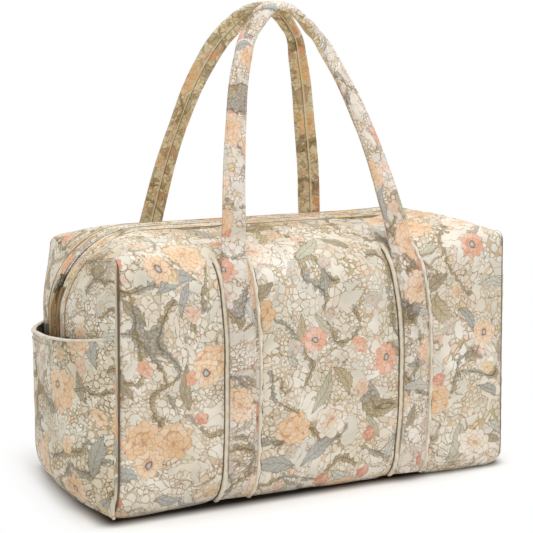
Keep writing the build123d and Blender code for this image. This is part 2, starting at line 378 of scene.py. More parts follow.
@dataclass(frozen=True)
class FlowerPrint:
    """A cotton canvas with a dense drawn print: pale pebbles, blossoms, leaves and winding boughs."""

    name: str = "flower_print"
    offset: tuple[float, float] = (0.0, 0.0)
    shade: Colour = ink(255, 255, 255)
    chalk: Colour = ink(240, 237, 229)
    cream: Colour = ink(233, 226, 212)
    oatmeal: Colour = ink(222, 212, 194)
    pebble: Colour = ink(224, 222, 213)
    tan: Colour = ink(196, 174, 138)
    outline: Colour = ink(132, 106, 72)
    dark_line: Colour = ink(88, 72, 50)
    peach: Colour = ink(243, 219, 189)
    apricot: Colour = ink(239, 206, 168)
    coral: Colour = ink(233, 176, 152)
    blush: Colour = ink(238, 212, 198)
    rose: Colour = ink(222, 152, 134)
    rust: Colour = ink(186, 128, 88)
    olive: Colour = ink(152, 136, 96)
    moss: Colour = ink(184, 168, 126)
    sage: Colour = ink(190, 190, 168)
    slate: Colour = ink(160, 167, 168)
    mist: Colour = ink(202, 206, 202)
    straw: Colour = ink(230, 216, 176)
    thread_pitch: float = 0.0011
    sewn_line: Optional[float] = None
    bold: float = 0.0
    bough_from: float = 0.485
    drawn: float = 1.0
    ochre: Colour = ink(206, 176, 116)
    ruled_from: Optional[float] = None
    ruled_along: bool = False
    blooms: tuple[Bloom, ...] = (
        Bloom(19.0, 0.0105, (0.13, 0.41), 0.40, (6.0, 1.6), 2.5, 0.0,
              ("coral", "blush", "rose", "mist", "straw", "peach"), "rust"),
        Bloom(10.5, 0.0260, (4.05, 3.63), 0.26, (11.0, 3.6), 4.0, 0.0,
              ("peach", "apricot", "chalk", "peach", "blush", "apricot"), "rust"),
        Bloom(8.0, 0.0185, (2.05, 0.63), 0.44, (10.0, 2.2), 4.5, 0.23,
              ("coral", "peach", "coral", "apricot", "rose", "peach"), "rust"))

    def material(self) -> bpy.types.Material:
        """Builds the print.

        Returns:
            The material.
        """
        g = Graph.of_material(self.name)
        flat, here = g.chart(self.offset)
        wander = g.shifted(g.shifted(g.shifted(flat, 13.0, 0.030), 70.0, 0.0064), 190.0, 0.0022)
        uneven = g.grain(flat, 330.0, 2.0)
        colour = self.pebbles(g, flat, wander, uneven)
        colour = self.leaves(g, wander, colour, uneven, 15.0, (1.37, 2.11))
        colour = self.boughs(g, wander, colour, uneven, 12.5, (3.3, 8.1))
        colour = self.boughs(g, wander, colour, uneven, 8.5, (0.0, 0.0))
        # Bold olive and rust blocks with dark shores, used on the straps' underside, where they paint shade of
        # the inner faces as well as the cloth's olive tone.
        if self.bold:
            block = g.grain(wander, 52.0, 0.6)
            dark = g.blend(g.grain(wander, 33.0, 0.0).step(0.45, 0.55), self.olive, self.rust)
            colour = g.blend(block.step(0.565, 0.58) * self.bold, colour, dark)
            shore = (block - 0.57).size().under(0.010, 0.008)
            colour = g.blend(shore * uneven.step(0.1, 0.5) * self.bold, colour, self.dark_line)
        colour = self.leaves(g, wander, colour, uneven, 11.0, (5.71, 0.87))
        for bloom in self.blooms:
            colour = self.blossoms(g, wander, colour, uneven, bloom)
        if self.ruled_from is not None:
            colour = self.ruled(g, here, colour)
        # Along the strap's seam: a pale line painted as the highlight on the seam's ridge and a dark line painted
        # as the shade in its groove.
        if self.sewn_line is not None:
            away = here.across - (self.offset[0] + self.sewn_line)
            colour = g.blend((away - 0.0020).size().under(0.0014, 0.0006) * 0.8, colour, self.chalk)
            colour = g.blend((away + 0.0003).size().under(0.0006, 0.0005) * 0.8, colour, self.dark_line)
        wash = g.grain(flat, 15.0, 3.0)
        tone = g.node("ShaderNodeValToRGB", {"stops": [(0.3, ink(228, 220, 204)), (0.66, ink(255, 255, 255))]},
                      {0: wash})
        colour = g.blend(0.85, colour, tone, "MULTIPLY")
        speck = g.grain(flat, 560.0, 2.0).step(0.6, 0.8)
        colour = g.blend(speck * 0.2, colour, self.outline)
        colour = g.blend(1.0, colour, self.shade, "MULTIPLY")
        fleck = g.grain(flat, 900.0, 1.0)
        bump = g.bump(0.4, 0.0007, self.weave(here) * 0.6 + fleck * 0.6 + uneven * 0.4)
        rough = 0.8 + (fleck - 0.5) * 0.16
        return g.finish(colour, rough, bump, {"Sheen Weight": 0.1, "Sheen Roughness": 0.5})

    def ruled(self, g: Graph, here: Point, colour: Val) -> Val:
        """Ochre streaks of tone and brown dashes that run lengthwise beside the zip; the dashes are painted shade
        of fine gathers.

        Args:
            g: The graph.
            here: The place on the cloth.
            colour: The print so far.

        Returns:
            The print with the streaks on it.
        """
        there = here.along.step(self.ruled_from, self.ruled_from + 0.018)
        run, over = (here.along, here.across) if self.ruled_along else (here.across, here.along)
        band = g.grain(g.join(run * 0.05, over), 300.0, 1.5)
        colour = g.blend(band.step(0.53, 0.60) * there * 0.42, colour, self.ochre)
        dash = g.grain(g.join(run * 0.10, over + 3.7), 380.0, 1.0)
        return g.blend(dash.step(0.62, 0.67) * there * 0.6, colour, self.outline)

    def weave(self, here: Point) -> Val:
        """The over and under of the threads, from 0 to 1."""
        turn = math.tau / self.thread_pitch
        return (here.across * turn).sine() * (here.along * turn).sine() * 0.5 + 0.5

    def mosaic(self, g: Graph, place: Val, scale: float, rounding: float = 0.74) -> Mosaic:
        """Cells with rounded corners.

        Args:
            g: The graph.
            place: The cloth's coordinates.
            scale: Cells for each metre.
            rounding: The radius at which corners are cut, in cells.

        Returns:
            The cells.
        """
        settings = {"voronoi_dimensions": "2D", "feature": "DISTANCE_TO_EDGE"}
        edge = g.node("ShaderNodeTexVoronoi", settings, {"Vector": place, "Scale": scale, "Randomness": 0.92})
        near = g.node("ShaderNodeTexVoronoi", {"voronoi_dimensions": "2D", "feature": "F1"},
                      {"Vector": place, "Scale": scale, "Randomness": 0.92})
        node = near.socket.node
        depth = edge.least((rounding - near) * 0.7) * (1 / scale)
        return Mosaic(depth, Val(g, node.outputs[2]), g.split(Val(g, node.outputs[1])))

    def ramp(self, g: Graph, chance: Val, names: tuple[str, ...]) -> Val:
        """One of the print's colours, picked evenly by a chance."""
        stops = [(i / len(names), getattr(self, name)) for i, name in enumerate(names)]
        return g.node("ShaderNodeValToRGB", {"interpolation": "CONSTANT", "stops": stops}, {0: chance})

    def pebbles(self, g: Graph, flat: Val, wander: Val, uneven: Val) -> Val:
        """The ground: small and middling outlined pebbles with smooth pale islands among them.

        Args:
            g: The graph.
            flat: The cloth's coordinates.
            wander: The same, pushed about.
            uneven: A fine value that breaks up the lines.

        Returns:
            The ground's colour.
        """
        fine = self.mosaic(g, wander, 172.0, 0.66)
        broad = self.mosaic(g, wander, 108.0, 0.66)
        large = g.grain(flat, 21.0, 1.0).step(0.49, 0.53)
        depth = fine.depth * (1 - large) + broad.depth * large
        pick = fine.chance.across * (1 - large) + broad.chance.across * large
        cell = g.node("ShaderNodeValToRGB", {"stops": [
            (0.0, self.chalk), (0.35, self.cream), (0.62, self.chalk), (0.76, self.pebble),
            (0.88, self.oatmeal), (0.95, self.blush), (1.0, self.straw)]}, {0: pick})
        gap = g.blend(g.grain(flat, 13.0, 2.0).step(0.4, 0.6), self.tan, self.moss)
        packed = g.grain(flat, 19.0, 2.0).step(0.5, 0.7)
        width = 0.00010 + packed * 0.00040
        colour = g.blend(depth.step(width, width + 0.0005), g.blend(0.62 - packed * 0.45, gap, cell), cell)
        rim = (depth - width - 0.00012).size().under(0.00028, 0.00022)
        strong = g.grain(flat, 26.0, 2.0).step(0.36, 0.66)
        drawn = rim * uneven.step(0.2, 0.65) * (0.42 + 0.46 * strong) * self.drawn
        colour = g.blend(drawn, colour, self.outline)
        for scale, level in ((40.0, 0.60), (64.0, 0.60)):
            blot = g.grain(wander, scale, 0.5)
            tone = g.blend(g.grain(flat, 24.0, 0.0).step(0.4, 0.6), self.chalk, self.pebble)
            colour = g.blend(blot.step(level - 0.002, level + 0.002), colour, tone)
            shore = (blot - level).size().under(scale * 0.00012, scale * 0.00009)
            colour = g.blend(shore * uneven.step(0.15, 0.6) * 0.75, colour, self.outline)
        return colour

    def boughs(self, g: Graph, wander: Val, colour: Val, uneven: Val, scale: float,
               shift: tuple[float, float]) -> Val:
        """Winding scalloped olive bands and thin dark tendrils that run between the blossoms.

        Args:
            g: The graph.
            wander: The cloth's coordinates.
            colour: The print so far.
            uneven: A fine value that breaks up the lines.
            scale: How often they wind, for each metre.
            shift: Moves this set off the other.

        Returns:
            The print with the bands on it.
        """
        wander = g.node("ShaderNodeVectorMath", {"operation": "ADD"}, {0: wander, 1: (*shift, 0.0)})
        scales = self.mosaic(g, wander, 235.0, 0.7)
        course = g.grain(scales.centre, scale, 0.4)
        there = g.grain(scales.centre, scale * 0.65, 0.0)
        band = ((course - 0.47).size() < 0.0015 * scale) * (there > self.bough_from)
        tone = g.blend(scales.chance.along.step(0.1, 0.9), self.olive, self.moss)
        tone = g.blend((g.grain(wander, 20.0, 1.0) > 0.52) * 0.65, tone, self.slate)
        colour = g.blend(band * 0.72, colour, tone)
        colour = g.blend(band * scales.depth.under(0.00045, 0.0003) * 0.42, colour, self.dark_line)
        spine = (g.grain(wander, scale, 0.4) - 0.474).size().under(0.00026 * scale, 0.00016 * scale)
        near = g.grain(wander, scale * 0.65, 0.0) > self.bough_from - 0.01
        colour = g.blend(spine * near * 0.55, colour, self.dark_line)
        vine = (g.grain(wander, 15.0, 1.2) - 0.5).size().under(0.0050, 0.0036)
        shown = g.grain(wander, 9.0, 0.0).step(0.46, 0.54)
        return g.blend(vine * shown * uneven.step(0.1, 0.5) * 0.6, colour, self.outline)

    def leaves(self, g: Graph, wander: Val, colour: Val, uneven: Val, scale: float,
               shift: tuple[float, float]) -> Val:
        """One pointed, veined leaf in some of the places of a loose scatter.

        Args:
            g: The graph.
            wander: The cloth's coordinates.
            colour: The print so far.
            uneven: A fine value that breaks up the lines.
            scale: Places for each metre.
            shift: Moves this scatter off the others.

        Returns:
            The print with the leaves on it.
        """
        local, chance = self.scatter(g, wander, scale, shift, 0.9)
        turn = chance.across * math.tau
        x = local.across * turn.cosine() + local.along * turn.sine()
        y = local.along * turn.cosine() - local.across * turn.sine()
        bow = y - x * x * (chance.along - 0.5) * (scale * 2.4)
        ratio = x * (scale / 0.30)
        half = (1 - ratio * ratio) * (0.085 / scale) * (1 + 0.09 * (x * 1500.0).sine())
        inside = half - bow.size()
        shown = chance.across > 0.30
        body = inside.step(-0.0002, 0.0003) * shown
        tint = self.ramp(g, chance.along, ("moss", "sage", "mist", "slate", "olive", "mist", "slate"))
        tint = g.blend(uneven * 0.4, tint, self.chalk)
        colour = g.blend(body * 0.88, colour, tint)
        vein = bow.size().under(0.00035, 0.0003) * body
        side = ((bow.size() * 1100.0 + x * 800.0).sine()).step(0.72, 0.98) * body * 0.5
        edge = inside.size().under(0.00045, 0.0003) * shown
        return g.blend(vein.most(edge).most(side) * uneven.step(0.05, 0.5) * 0.6, colour, self.dark_line)

    def blossoms(self, g: Graph, wander: Val, colour: Val, uneven: Val, bloom: Bloom) -> Val:
        """Blossoms of one kind, drawn petal by petal in rings.

        Args:
            g: The graph.
            wander: The cloth's coordinates.
            colour: The print so far.
            uneven: A fine value that breaks up the lines.
            bloom: The kind.

        Returns:
            The print with the blossoms on it.
        """
        local, chance = self.scatter(g, wander, bloom.scale, bloom.shift, 0.8)
        grown = bloom.radius * (0.74 + 0.26 * chance.along)
        far = local.reach() / grown
        angle = local.along.angle_to(local.across) + chance.across * math.tau
        petals = self.mosaic(g, g.join(angle * (bloom.petals[0] / math.tau),
                                       far * bloom.petals[1] + chance.along * 9.0), 1.0)
        rim = 0.80 + (angle * bloom.lobes).cosine().size() * 0.2
        shown = chance.along > bloom.shown
        body = far.under(rim, 0.03) * shown
        tint = self.ramp(g, chance.across, bloom.tints)
        tint = g.blend(petals.chance.across.step(0.2, 0.9) * 0.45, tint, self.chalk)
        tint = g.blend(far.step(0.7, 0.12) * 0.5, tint, self.apricot)
        colour = g.blend(body * 0.95, colour, tint)
        line = (petals.depth * (0.45 + far)).under(0.050, 0.045) * body
        edge = (far - rim).size().under(0.022, 0.018) * shown
        stroke = (angle * 19.0 + petals.chance.across * 9.0).sine().step(0.55, 1.0)
        stroke = stroke * far.step(0.95, 0.2) * body * (g.grain(wander, 160.0, 1.0) > 0.5) * 0.75
        line = line.most(stroke)
        colour = g.blend(line.most(edge) * uneven.step(0.15, 0.6) * 0.62, colour, getattr(self, bloom.line))
        if not bloom.heart:
            return g.blend(far.under(0.14, 0.08) * shown * uneven.step(0.35, 0.5) * 0.5, colour, self.rust)
        heart = far.under(bloom.heart, 0.02) * shown
        colour = g.blend(heart, colour, self.slate)
        ring = (far - bloom.heart).size().under(0.035, 0.02) * shown
        colour = g.blend(ring * 0.8, colour, self.dark_line)
        rays = ((angle * 11.0).sine() > 0.2) * far.under(bloom.heart + 0.16, 0.04)
        rays = rays * far.step(0.2, 0.24) * shown
        colour = g.blend(rays * 0.5, colour, self.rose)
        return g.blend(far.under(0.12, 0.06) * heart * 0.5, colour, self.chalk)

    def scatter(self, g: Graph, place: Val, scale: float, shift: tuple[float, float],
                loose: float) -> tuple[Point, Point]:
        """Places measured from the nearest point of a scatter, with two chances for each point.

        Args:
            g: The graph.
            place: The cloth's coordinates.
            scale: Points for each metre.
            shift: Moves this scatter off the others.
            loose: How far the points stray from a plain grid.

        Returns:
            The place measured from the point, and the chances from 0 to 1.
        """
        moved = g.node("ShaderNodeVectorMath", {"operation": "ADD"}, {0: place, 1: (*shift, 0.0)})
        first = g.node("ShaderNodeTexVoronoi", {"voronoi_dimensions": "2D", "feature": "F1"},
                       {"Vector": moved, "Scale": scale, "Randomness": loose}, 2)
        tint = Val(g, first.socket.node.outputs[1])
        local = g.node("ShaderNodeVectorMath", {"operation": "SUBTRACT"}, {0: moved, 1: first})
        return g.split(local), g.split(tint)


@dataclass(frozen=True)
class TrimCloth:
    """A plain woven tape or binding in one colour with a soft uneven tone."""

    name: str
    light: Colour
    dark: Colour
    rib_pitch: float = 0.0016

    def material(self) -> bpy.types.Material:
        """Builds the trim.

        Returns:
            The material.
        """
        g = Graph.of_material(self.name)
        place = g.node("ShaderNodeTexCoord", None, None, "Object")
        cloud = g.grain(place, 120.0, 4.0, 0.6)
        flecks = g.grain(place, 1400.0, 2.0)
        part = g.node("ShaderNodeSeparateXYZ", None, {0: place}).socket.node
        turn = math.tau / self.rib_pitch
        ribs = ((Val(g, part.outputs[0]) + Val(g, part.outputs[2])) * turn).sine() * 0.5 + 0.5
        # The cloud and flecks are uneven tone; the rib valleys are painted darker, painted shade in the weave's
        # grooves.
        tone_and_rib_shade = cloud.step(0.3, 0.72) * 0.6 + (1 - ribs) * 0.3 + (flecks - 0.5) * 0.3
        colour = g.blend(tone_and_rib_shade, self.light, self.dark)
        bump = g.bump(0.4, 0.0005, ribs * 0.6 + flecks * 0.6)
        return g.finish(colour, 0.78 + (flecks - 0.5) * 0.2, bump, {"Sheen Weight": 0.1})


@dataclass(frozen=True)
class StripedTape:
    """The brown turned edges of the open zip, streaked lengthwise in dark and pale, painted as the shade and
    highlight of fine lengthwise ridges.
    """

    name: str = "striped_lining"
    brown: Colour = ink(150, 116, 66)
    dark: Colour = ink(70, 50, 26)
    pale: Colour = ink(214, 194, 152)

    def material(self) -> bpy.types.Material:
        """Builds the tape.

        Returns:
            The material.
        """
        g = Graph.of_material(self.name)
        _, here = g.chart()
        thread = g.grain(g.join(here.across, here.along * 0.04), 420.0, 2.0)
        # Dark and pale streaks: painted shade and highlight of the turned cloth's lengthwise ridges.
        colour = g.blend(thread.step(0.46, 0.36), self.brown, self.dark)
        colour = g.blend(thread.step(0.58, 0.66) * 0.8, colour, self.pale)
        flecks = g.grain(g.join(here.across, here.along), 900.0, 2.0)
        bump = g.bump(0.5, 0.0006, thread + flecks * 0.4)
        return g.finish(colour, 0.78 + (flecks - 0.5) * 0.2, bump, {"Sheen Weight": 0.1})


@dataclass(frozen=True)
class ZipMetal:
    """White metal of the zip, with rubbed high spots and a little tarnish."""

    name: str = "zip_metal"
    bright: Colour = ink(214, 213, 208)
    dull: Colour = ink(142, 140, 134)

    def material(self) -> bpy.types.Material:
        """Builds the metal.

        Returns:
            The material.
        """
        g = Graph.of_material(self.name)
        place = g.node("ShaderNodeTexCoord", None, None, "Object")
        cloud = g.grain(place, 260.0, 4.0, 0.65)
        scratch = g.grain(place, 1700.0, 2.0)
        colour = g.blend(cloud.step(0.35, 0.7), self.bright, self.dull)
        bump = g.bump(0.12, 0.0002, scratch)
        return g.finish(colour, 0.3 + cloud * 0.22, bump, {"Metallic": 1.0})


@dataclass(frozen=True)
class StiffBoard:
    """Dark board that stiffens the base, seen only where the bag is open."""

    name: str = "stiff_board"
    light: Colour = ink(96, 84, 68)
    dark: Colour = ink(66, 56, 44)

    def material(self) -> bpy.types.Material:
        """Builds the board.

        Returns:
            The material.
        """
        g = Graph.of_material(self.name)
        place = g.node("ShaderNodeTexCoord", None, None, "Object")
        pulp = g.grain(place, 420.0, 5.0, 0.7)
        colour = g.blend(pulp.step(0.3, 0.7), self.light, self.dark)
        bump = g.bump(0.3, 0.0006, pulp)
        return g.finish(colour, 0.7 + pulp * 0.2, bump)


# Mesh building


@dataclass(frozen=True)
class Cells:
    """How many mesh cells a sheet has in its two directions."""

    across: int
    along: int


def to_object(bm: bmesh.types.BMesh, name: str) -> bpy.types.Object:
    """Makes a smooth object of a bmesh, at the origin.

    Args:
        bm: The mesh, which is freed.
        name: The piece's name.

    Returns:
        The object.
    """
    mesh = bpy.data.meshes.new(name)
    bm.to_mesh(mesh)
    bm.free()
    mesh.shade_smooth()
    piece = bpy.data.objects.new(name, mesh)
    bpy.context.scene.collection.objects.link(piece)
    return piece


def sheet_mesh(cells: Cells, place: Place, chart: Chart, relief: Optional[Relief] = None,
               closed: bool = False) -> bmesh.types.BMesh:
    """A grid that is laid out by a map, charted, and then raised or sunk along its normals.

    Args:
        cells: The grid's cells.
        place: Where a point with shares across and along goes.
        chart: Its place on the flat cloth, in metres.
        relief: How far it then moves along its normal.
        closed: True where the first and last columns are one.

    Returns:
        The mesh.
    """
    bm = bmesh.new()
    layer = bm.loops.layers.uv.new(CHART)
    bmesh.ops.create_grid(bm, x_segments=cells.across, y_segments=cells.along, size=0.5)
    shares = {vert: (vert.co.x + 0.5, vert.co.y + 0.5) for vert in bm.verts}
    for face in bm.faces:
        for loop in face.loops:
            loop[layer].uv = chart(*shares[loop.vert])
    for vert, (u, v) in shares.items():
        vert.co = place(u, v)
    if closed:
        bmesh.ops.remove_doubles(bm, verts=bm.verts, dist=1e-6)
        shares = {vert: seat for vert, seat in shares.items() if vert.is_valid}
    bm.normal_update()
    if relief is not None:
        for vert, (u, v) in shares.items():
            vert.co += vert.normal * relief(u, v)
        bm.normal_update()
    return bm


def flat_chart(width: float, length: float, shift: tuple[float, float] = (0.0, 0.0)) -> Chart:
    """The map from shares to a place on a flat cloth of a width and a length."""
    return lambda u, v: (width * u + shift[0], length * v + shift[1])


def add_mesh(whole: bmesh.types.BMesh, part: bmesh.types.BMesh) -> None:
    """Adds one mesh to another and frees it."""
    scratch = bpy.data.meshes.new("part")
    part.to_mesh(scratch)
    part.free()
    whole.from_mesh(scratch)
    bpy.data.meshes.remove(scratch)


def thicken(piece: bpy.types.Object, thickness: float) -> None:
    """Gives a sheet its thickness on the inner side."""
    wall = piece.modifiers.new("cloth_thickness", "SOLIDIFY")
    wall.thickness = thickness
    wall.offset = -1.0


def ripple(place: Vector, scale: float) -> float:
    """A smooth wandering value from about -1 to 1."""
    return noise.noise(place * scale)


class Line:
    """A smooth line through given points, measured by its length."""

    def __init__(self, points: list[Vector]) -> None:
        """Measures a fine line.

        Args:
            points: Points close enough together to be the line.
        """
        self.points = points
        self.marks = [0.0]
        for a, b in zip(points, points[1:]):
            self.marks.append(self.marks[-1] + (b - a).length)

    @classmethod
    def smooth(cls, knots: list[Vector]) -> "Line":
        """A line that bends smoothly through a few points, drawn with a curve object."""
        data = bpy.data.curves.new("route", "CURVE")
        data.dimensions = "3D"
        data.resolution_u = 16
        spline = data.splines.new("BEZIER")
        spline.bezier_points.add(len(knots) - 1)
        for point, knot in zip(spline.bezier_points, knots):
            point.co = knot
            point.handle_left_type = "AUTO"
            point.handle_right_type = "AUTO"
        holder = bpy.data.objects.new("route", data)
        bpy.context.scene.collection.objects.link(holder)
        bpy.context.view_layer.update()
        drawn = bpy.data.meshes.new_from_object(holder)
        points = [vert.co.copy() for vert in drawn.vertices]
        bpy.data.objects.remove(holder)
        bpy.data.curves.remove(data)
        bpy.data.meshes.remove(drawn)
        return cls(points)

    @property
    def length(self) -> float:
        """The whole length."""
        return self.marks[-1]

    def at(self, share: float) -> Vector:
        """The point at a share of the length."""
        goal = clamp(share) * self.length
        low, high = 0, len(self.marks) - 1
        while high - low > 1:
            mid = (low + high) // 2
            if self.marks[mid] <= goal:
                low = mid
            else:
                high = mid
        run = self.marks[high] - self.marks[low]
        return self.points[low].lerp(self.points[high], (goal - self.marks[low]) / run if run else 0.0)

    def heading(self, share: float) -> Vector:
        """The direction of the line at a share of its length."""
        step = 0.002
        return (self.at(share + step) - self.at(share - step)).normalized()


# The body's form


@dataclass
class BodySizes:
    """The body's driving sizes, taken from the frame where a node gives them."""

    half_length: float
    half_depth: float
    height: float
    half_zip_length: float
    seam_x: float
    gusset_reach: float
    zip_half_width: float = 0.009
    end_arc_radius: float = 0.100
    foot_radius: float = 0.025
    ear_height: float = 0.299
    ear_radius: float = 0.012
    half_crown: float = 0.190
    shoulder_height: float = 0.291
    shoulder_radius: float = 0.052
    corner_height: float = 0.300
    corner_radius: float = 0.022
    foot_radius_right: float = 0.011
    flare: float = 0.004
    right_reach: float = 0.0016
    left_lean: float = 0.0062
    base_radius: float = 0.022
    base_radius_left: float = 0.049
    base_radius_right: float = 0.027
    base_hump: float = 0.008
    crest: float = 0.00575
    crest_place: float = 0.205
    crest_width: float = 0.048
    crest_depth: float = 0.16
    sharp_from: float = 0.13
    flare_top: float = 0.25
    back_ear_drop: float = 0.0042
    taper: float = 0.0112
    front_taper: float = 0.001
    cloth: float = 0.0025

    @classmethod
    def from_frame(cls) -> "BodySizes":
        """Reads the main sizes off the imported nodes."""
        panel_low, panel_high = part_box("front_panel")
        lane_low, lane_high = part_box("front_zip_gusset")
        return cls(half_length=panel_high.x + 0.004, half_depth=-panel_low.y, height=lane_high.z,
                   half_zip_length=lane_high.x, seam_x=panel_high.x, gusset_reach=-lane_low.y)


class BodyForm:
    """The one lofted form that all the bag's cloth lies on."""

    def __init__(self, sizes: BodySizes) -> None:
        """Works out the outline across the bag.

        Args:
            sizes: The body's sizes.
        """
        self.s = sizes
        self.section_cache: dict[tuple[int, Side], Line] = {}
        self.seams: dict[tuple[Side, Side], tuple[list, list]] = {}
        for end in Side:
            for side in Side:
                x = end.sign * self.s.seam_x
                seam = [(p.y, p.z) for p in self.section(x, side).points]
                low = [(0.0, self.foot_z(x, 0.0))] + [p for p in seam if p[1] < self.s.height / 2]
                high = [p for p in seam if p[1] >= self.s.height / 2] + [(0.0, self.top_z(x, 0.0))]
                self.seams[end, side] = (low, high)

    def base_round(self, x: float, side: Side) -> float:
        """How the lower edge is rounded: fullest in the middle of the front and squarer on its right."""
        if side is Side.HIGH:
            return self.s.base_radius
        share = (x / self.s.seam_x + 1) / 2
        hump = self.s.base_hump * math.sin(math.pi * clamp(share))
        return lerp(self.s.base_radius_left, self.s.base_radius_right, ease(share)) + hump

    def swell_up(self, x: float, y: float) -> float:
        """How much the top stands up to the right of the straps, mostly at the front."""
        s = self.s
        return s.crest * math.exp(-((x - s.crest_place) / s.crest_width) ** 2) * ease(0.5 - y / s.crest_depth)

    def across_outline(self, shoulder: float, radius: float, base: float) -> list[tuple[float, float]]:
        """Half the outline across the bag, from the base seam up to the zip's gusset.

        Args:
            shoulder: The height at which the top's slope would meet the front.
            radius: How the shoulder is rounded.
            base: How the lower edge is rounded.

        Returns:
            Places across the bag and their heights.
        """
        s = self.s
        slope = math.atan2(s.height - shoulder, s.half_depth - s.gusset_reach)
        shoulder_y = s.half_depth - radius
        shoulder_z = shoulder - radius * math.tan((math.pi / 2 - slope) / 2)
        points = []
        steps = 24
        for i in range(steps + 1):
            turn = -math.pi / 2 + math.pi / 2 * i / steps
            points.append((s.half_depth - base + base * math.cos(turn), base + base * math.sin(turn)))
        for i in range(1, steps):
            points.append((s.half_depth, lerp(base, shoulder_z, i / steps)))
        for i in range(steps + 1):
            turn = (math.pi / 2 - slope) * i / steps
            points.append((shoulder_y + radius * math.cos(turn), shoulder_z + radius * math.sin(turn)))
        last = points[-1]
        for i in range(1, steps + 1):
            points.append((lerp(last[0], s.gusset_reach, i / steps), lerp(last[1], s.height, i / steps)))
        return points

    def ear_top(self, x: float) -> float:
        """Height of the front and back edges' outline at a place along the bag."""
        s = self.s
        out = abs(x)
        if out <= s.half_crown:
            return s.height
        slope = (s.height - s.ear_height) / (s.half_length - s.half_crown)
        line = s.height - slope * (out - s.half_crown)
        turn = math.atan(slope)
        centre_x = s.half_length - s.ear_radius
        centre_z = s.ear_height - s.ear_radius * math.tan((math.pi / 2 - turn) / 2)
        if out <= centre_x + s.ear_radius * math.sin(turn):
            return line
        return centre_z + math.sqrt(max(0.0, s.ear_radius ** 2 - (out - centre_x) ** 2))

    def zip_top(self, x: float) -> float:
        """Height of the zip's line at a place along the bag."""
        s = self.s
        past = max(0.0, abs(x) - (s.half_zip_length - s.end_arc_radius))
        fall = s.end_arc_radius - math.sqrt(max(0.0, s.end_arc_radius ** 2 - past ** 2))
        return s.height + self.swell_up(x, 0.0) - fall

    def side_share(self, y: float) -> float:
        """How far a place across the bag is from the zip's lane, 0, to the front or back edge, 1."""
        return clamp((abs(y) - self.s.gusset_reach) / (self.s.half_depth - self.s.gusset_reach))

    def top_z(self, x: float, y: float) -> float:
        """Height of the lofted top."""
        share = self.side_share(y)
        out = abs(x) - (self.s.half_length - self.s.ear_radius)
        crest = self.swell_up(x, y) * (1 - ease(out / self.s.ear_radius))
        return lerp(self.zip_top(x) - self.swell_up(x, 0.0) * share, self.ear_top(x) + crest, share)

    def foot_z(self, x: float, y: float) -> float:
        """Height of the underside, which rounds up at the ends."""
        s = self.s
        foot = self.foot_round(Side.LOW if x < 0 else Side.HIGH)
        reach = lerp(s.half_zip_length, s.half_length, self.side_share(y)) - foot
        past = clamp(abs(x) - reach, 0.0, foot)
        return foot - math.sqrt(foot ** 2 - past ** 2)

    def foot_round(self, end: Side) -> float:
        """How the foot of an end is rounded."""
        return self.s.foot_radius if end is Side.LOW else self.s.foot_radius_right

    def section(self, x: float, side: Side = Side.LOW) -> Line:
        """Half the section across the bag at a place along it, base seam to gusset seam."""
        key = (round(x * 1e5), side)
        if key not in self.section_cache:
            s = self.s
            points = []
            base = self.base_round(x, side)
            sharp = ease((abs(x) - s.sharp_from) / (s.seam_x - s.sharp_from))
            drop = s.back_ear_drop * ease((-x - 0.02) / 0.16) if side is Side.HIGH else 0.0
            for middle, corner in zip(self.across_outline(s.shoulder_height, s.shoulder_radius, base),
                                      self.across_outline(s.corner_height, s.corner_radius, base)):
                y, z = lerp(middle[0], corner[0], sharp), lerp(middle[1], corner[1], sharp)
                z += self.swell_up(x, side.sign * y) * ease((z - 0.24) / 0.06)
                blend = 0.008 * clamp((y - s.gusset_reach) / 0.04)
                capped = soft_low(z, self.top_z(x, side.sign * y), blend)
                capped -= drop * self.side_share(y) * ease((z - 0.2) / 0.08)
                points.append(Vector((abs(x), y, soft_high(capped, self.foot_z(x, y), 0.003))))
            self.section_cache[key] = Line(points)
        return self.section_cache[key]

    def wall_point(self, x: float, share: float, side: Side) -> Vector:
        """A point on the front or back: its place along the bag and its share up the section."""
        found = self.section(x, side).at(share)
        y = side.sign * found.y
        return Vector((self.drawn(x, y, found.z), y, found.z))

    def drawn(self, x: float, y: float, z: float) -> float:
        """A place along the bag, drawn in towards the top and out at the front's right, mostly low down."""
        s = self.s
        front = clamp(-y / s.half_depth)
        taper, power = (s.taper, 2.2) if y > 0 else (s.front_taper, 1.0)
        tucked = x * (1 - taper / s.half_length * self.side_share(y) * clamp(z / s.height) ** power)
        right = (s.right_reach + s.flare * clamp(1 - z / s.flare_top)) * clamp(x / s.seam_x) ** 2 * front
        left = s.left_lean * clamp(z / 0.3) ** 0.6 * clamp(-x / s.seam_x) ** 2 * front ** 3
        return tucked + right + left

    def end_x(self, y: float, z: float, end: Side) -> float:
        """How far out an end stands at a place on it."""
        s = self.s
        foot = self.foot_round(end)
        lane = s.half_zip_length
        past = z - (s.height - s.end_arc_radius)
        if past > 0:
            lane = s.half_zip_length - s.end_arc_radius + math.sqrt(
                max(0.0, s.end_arc_radius ** 2 - past ** 2))
        edge = s.half_length
        ear_z = s.ear_height - s.ear_radius * 0.744
        if z > ear_z:
            edge = s.half_length - s.ear_radius + math.sqrt(
                max(0.0, s.ear_radius ** 2 - min(s.ear_radius, z - ear_z) ** 2))
        if z < foot:
            tuck = foot - math.sqrt(foot ** 2 - (foot - max(z, 0.0)) ** 2)
            lane -= tuck
            edge -= tuck
        return lerp(lane, edge, self.side_share(y) ** 1.35)

    def seam_heights(self, y: float, end: Side) -> tuple[float, float]:
        """Lowest and highest point of an end's seam at a place across the bag."""
        out = abs(y)
        low, high = self.seams[end, Side.HIGH if y > 0 else Side.LOW]

        def read(points: list[tuple[float, float]]) -> float:
            """The seam's height there, between its points."""
            ordered = sorted(points)
            for (ya, za), (yb, zb) in zip(ordered, ordered[1:]):
                if ya <= out <= yb:
                    return lerp(za, zb, (out - ya) / (yb - ya) if yb > ya else 0.0)
            return ordered[-1][1]

        return read(low), read(high)

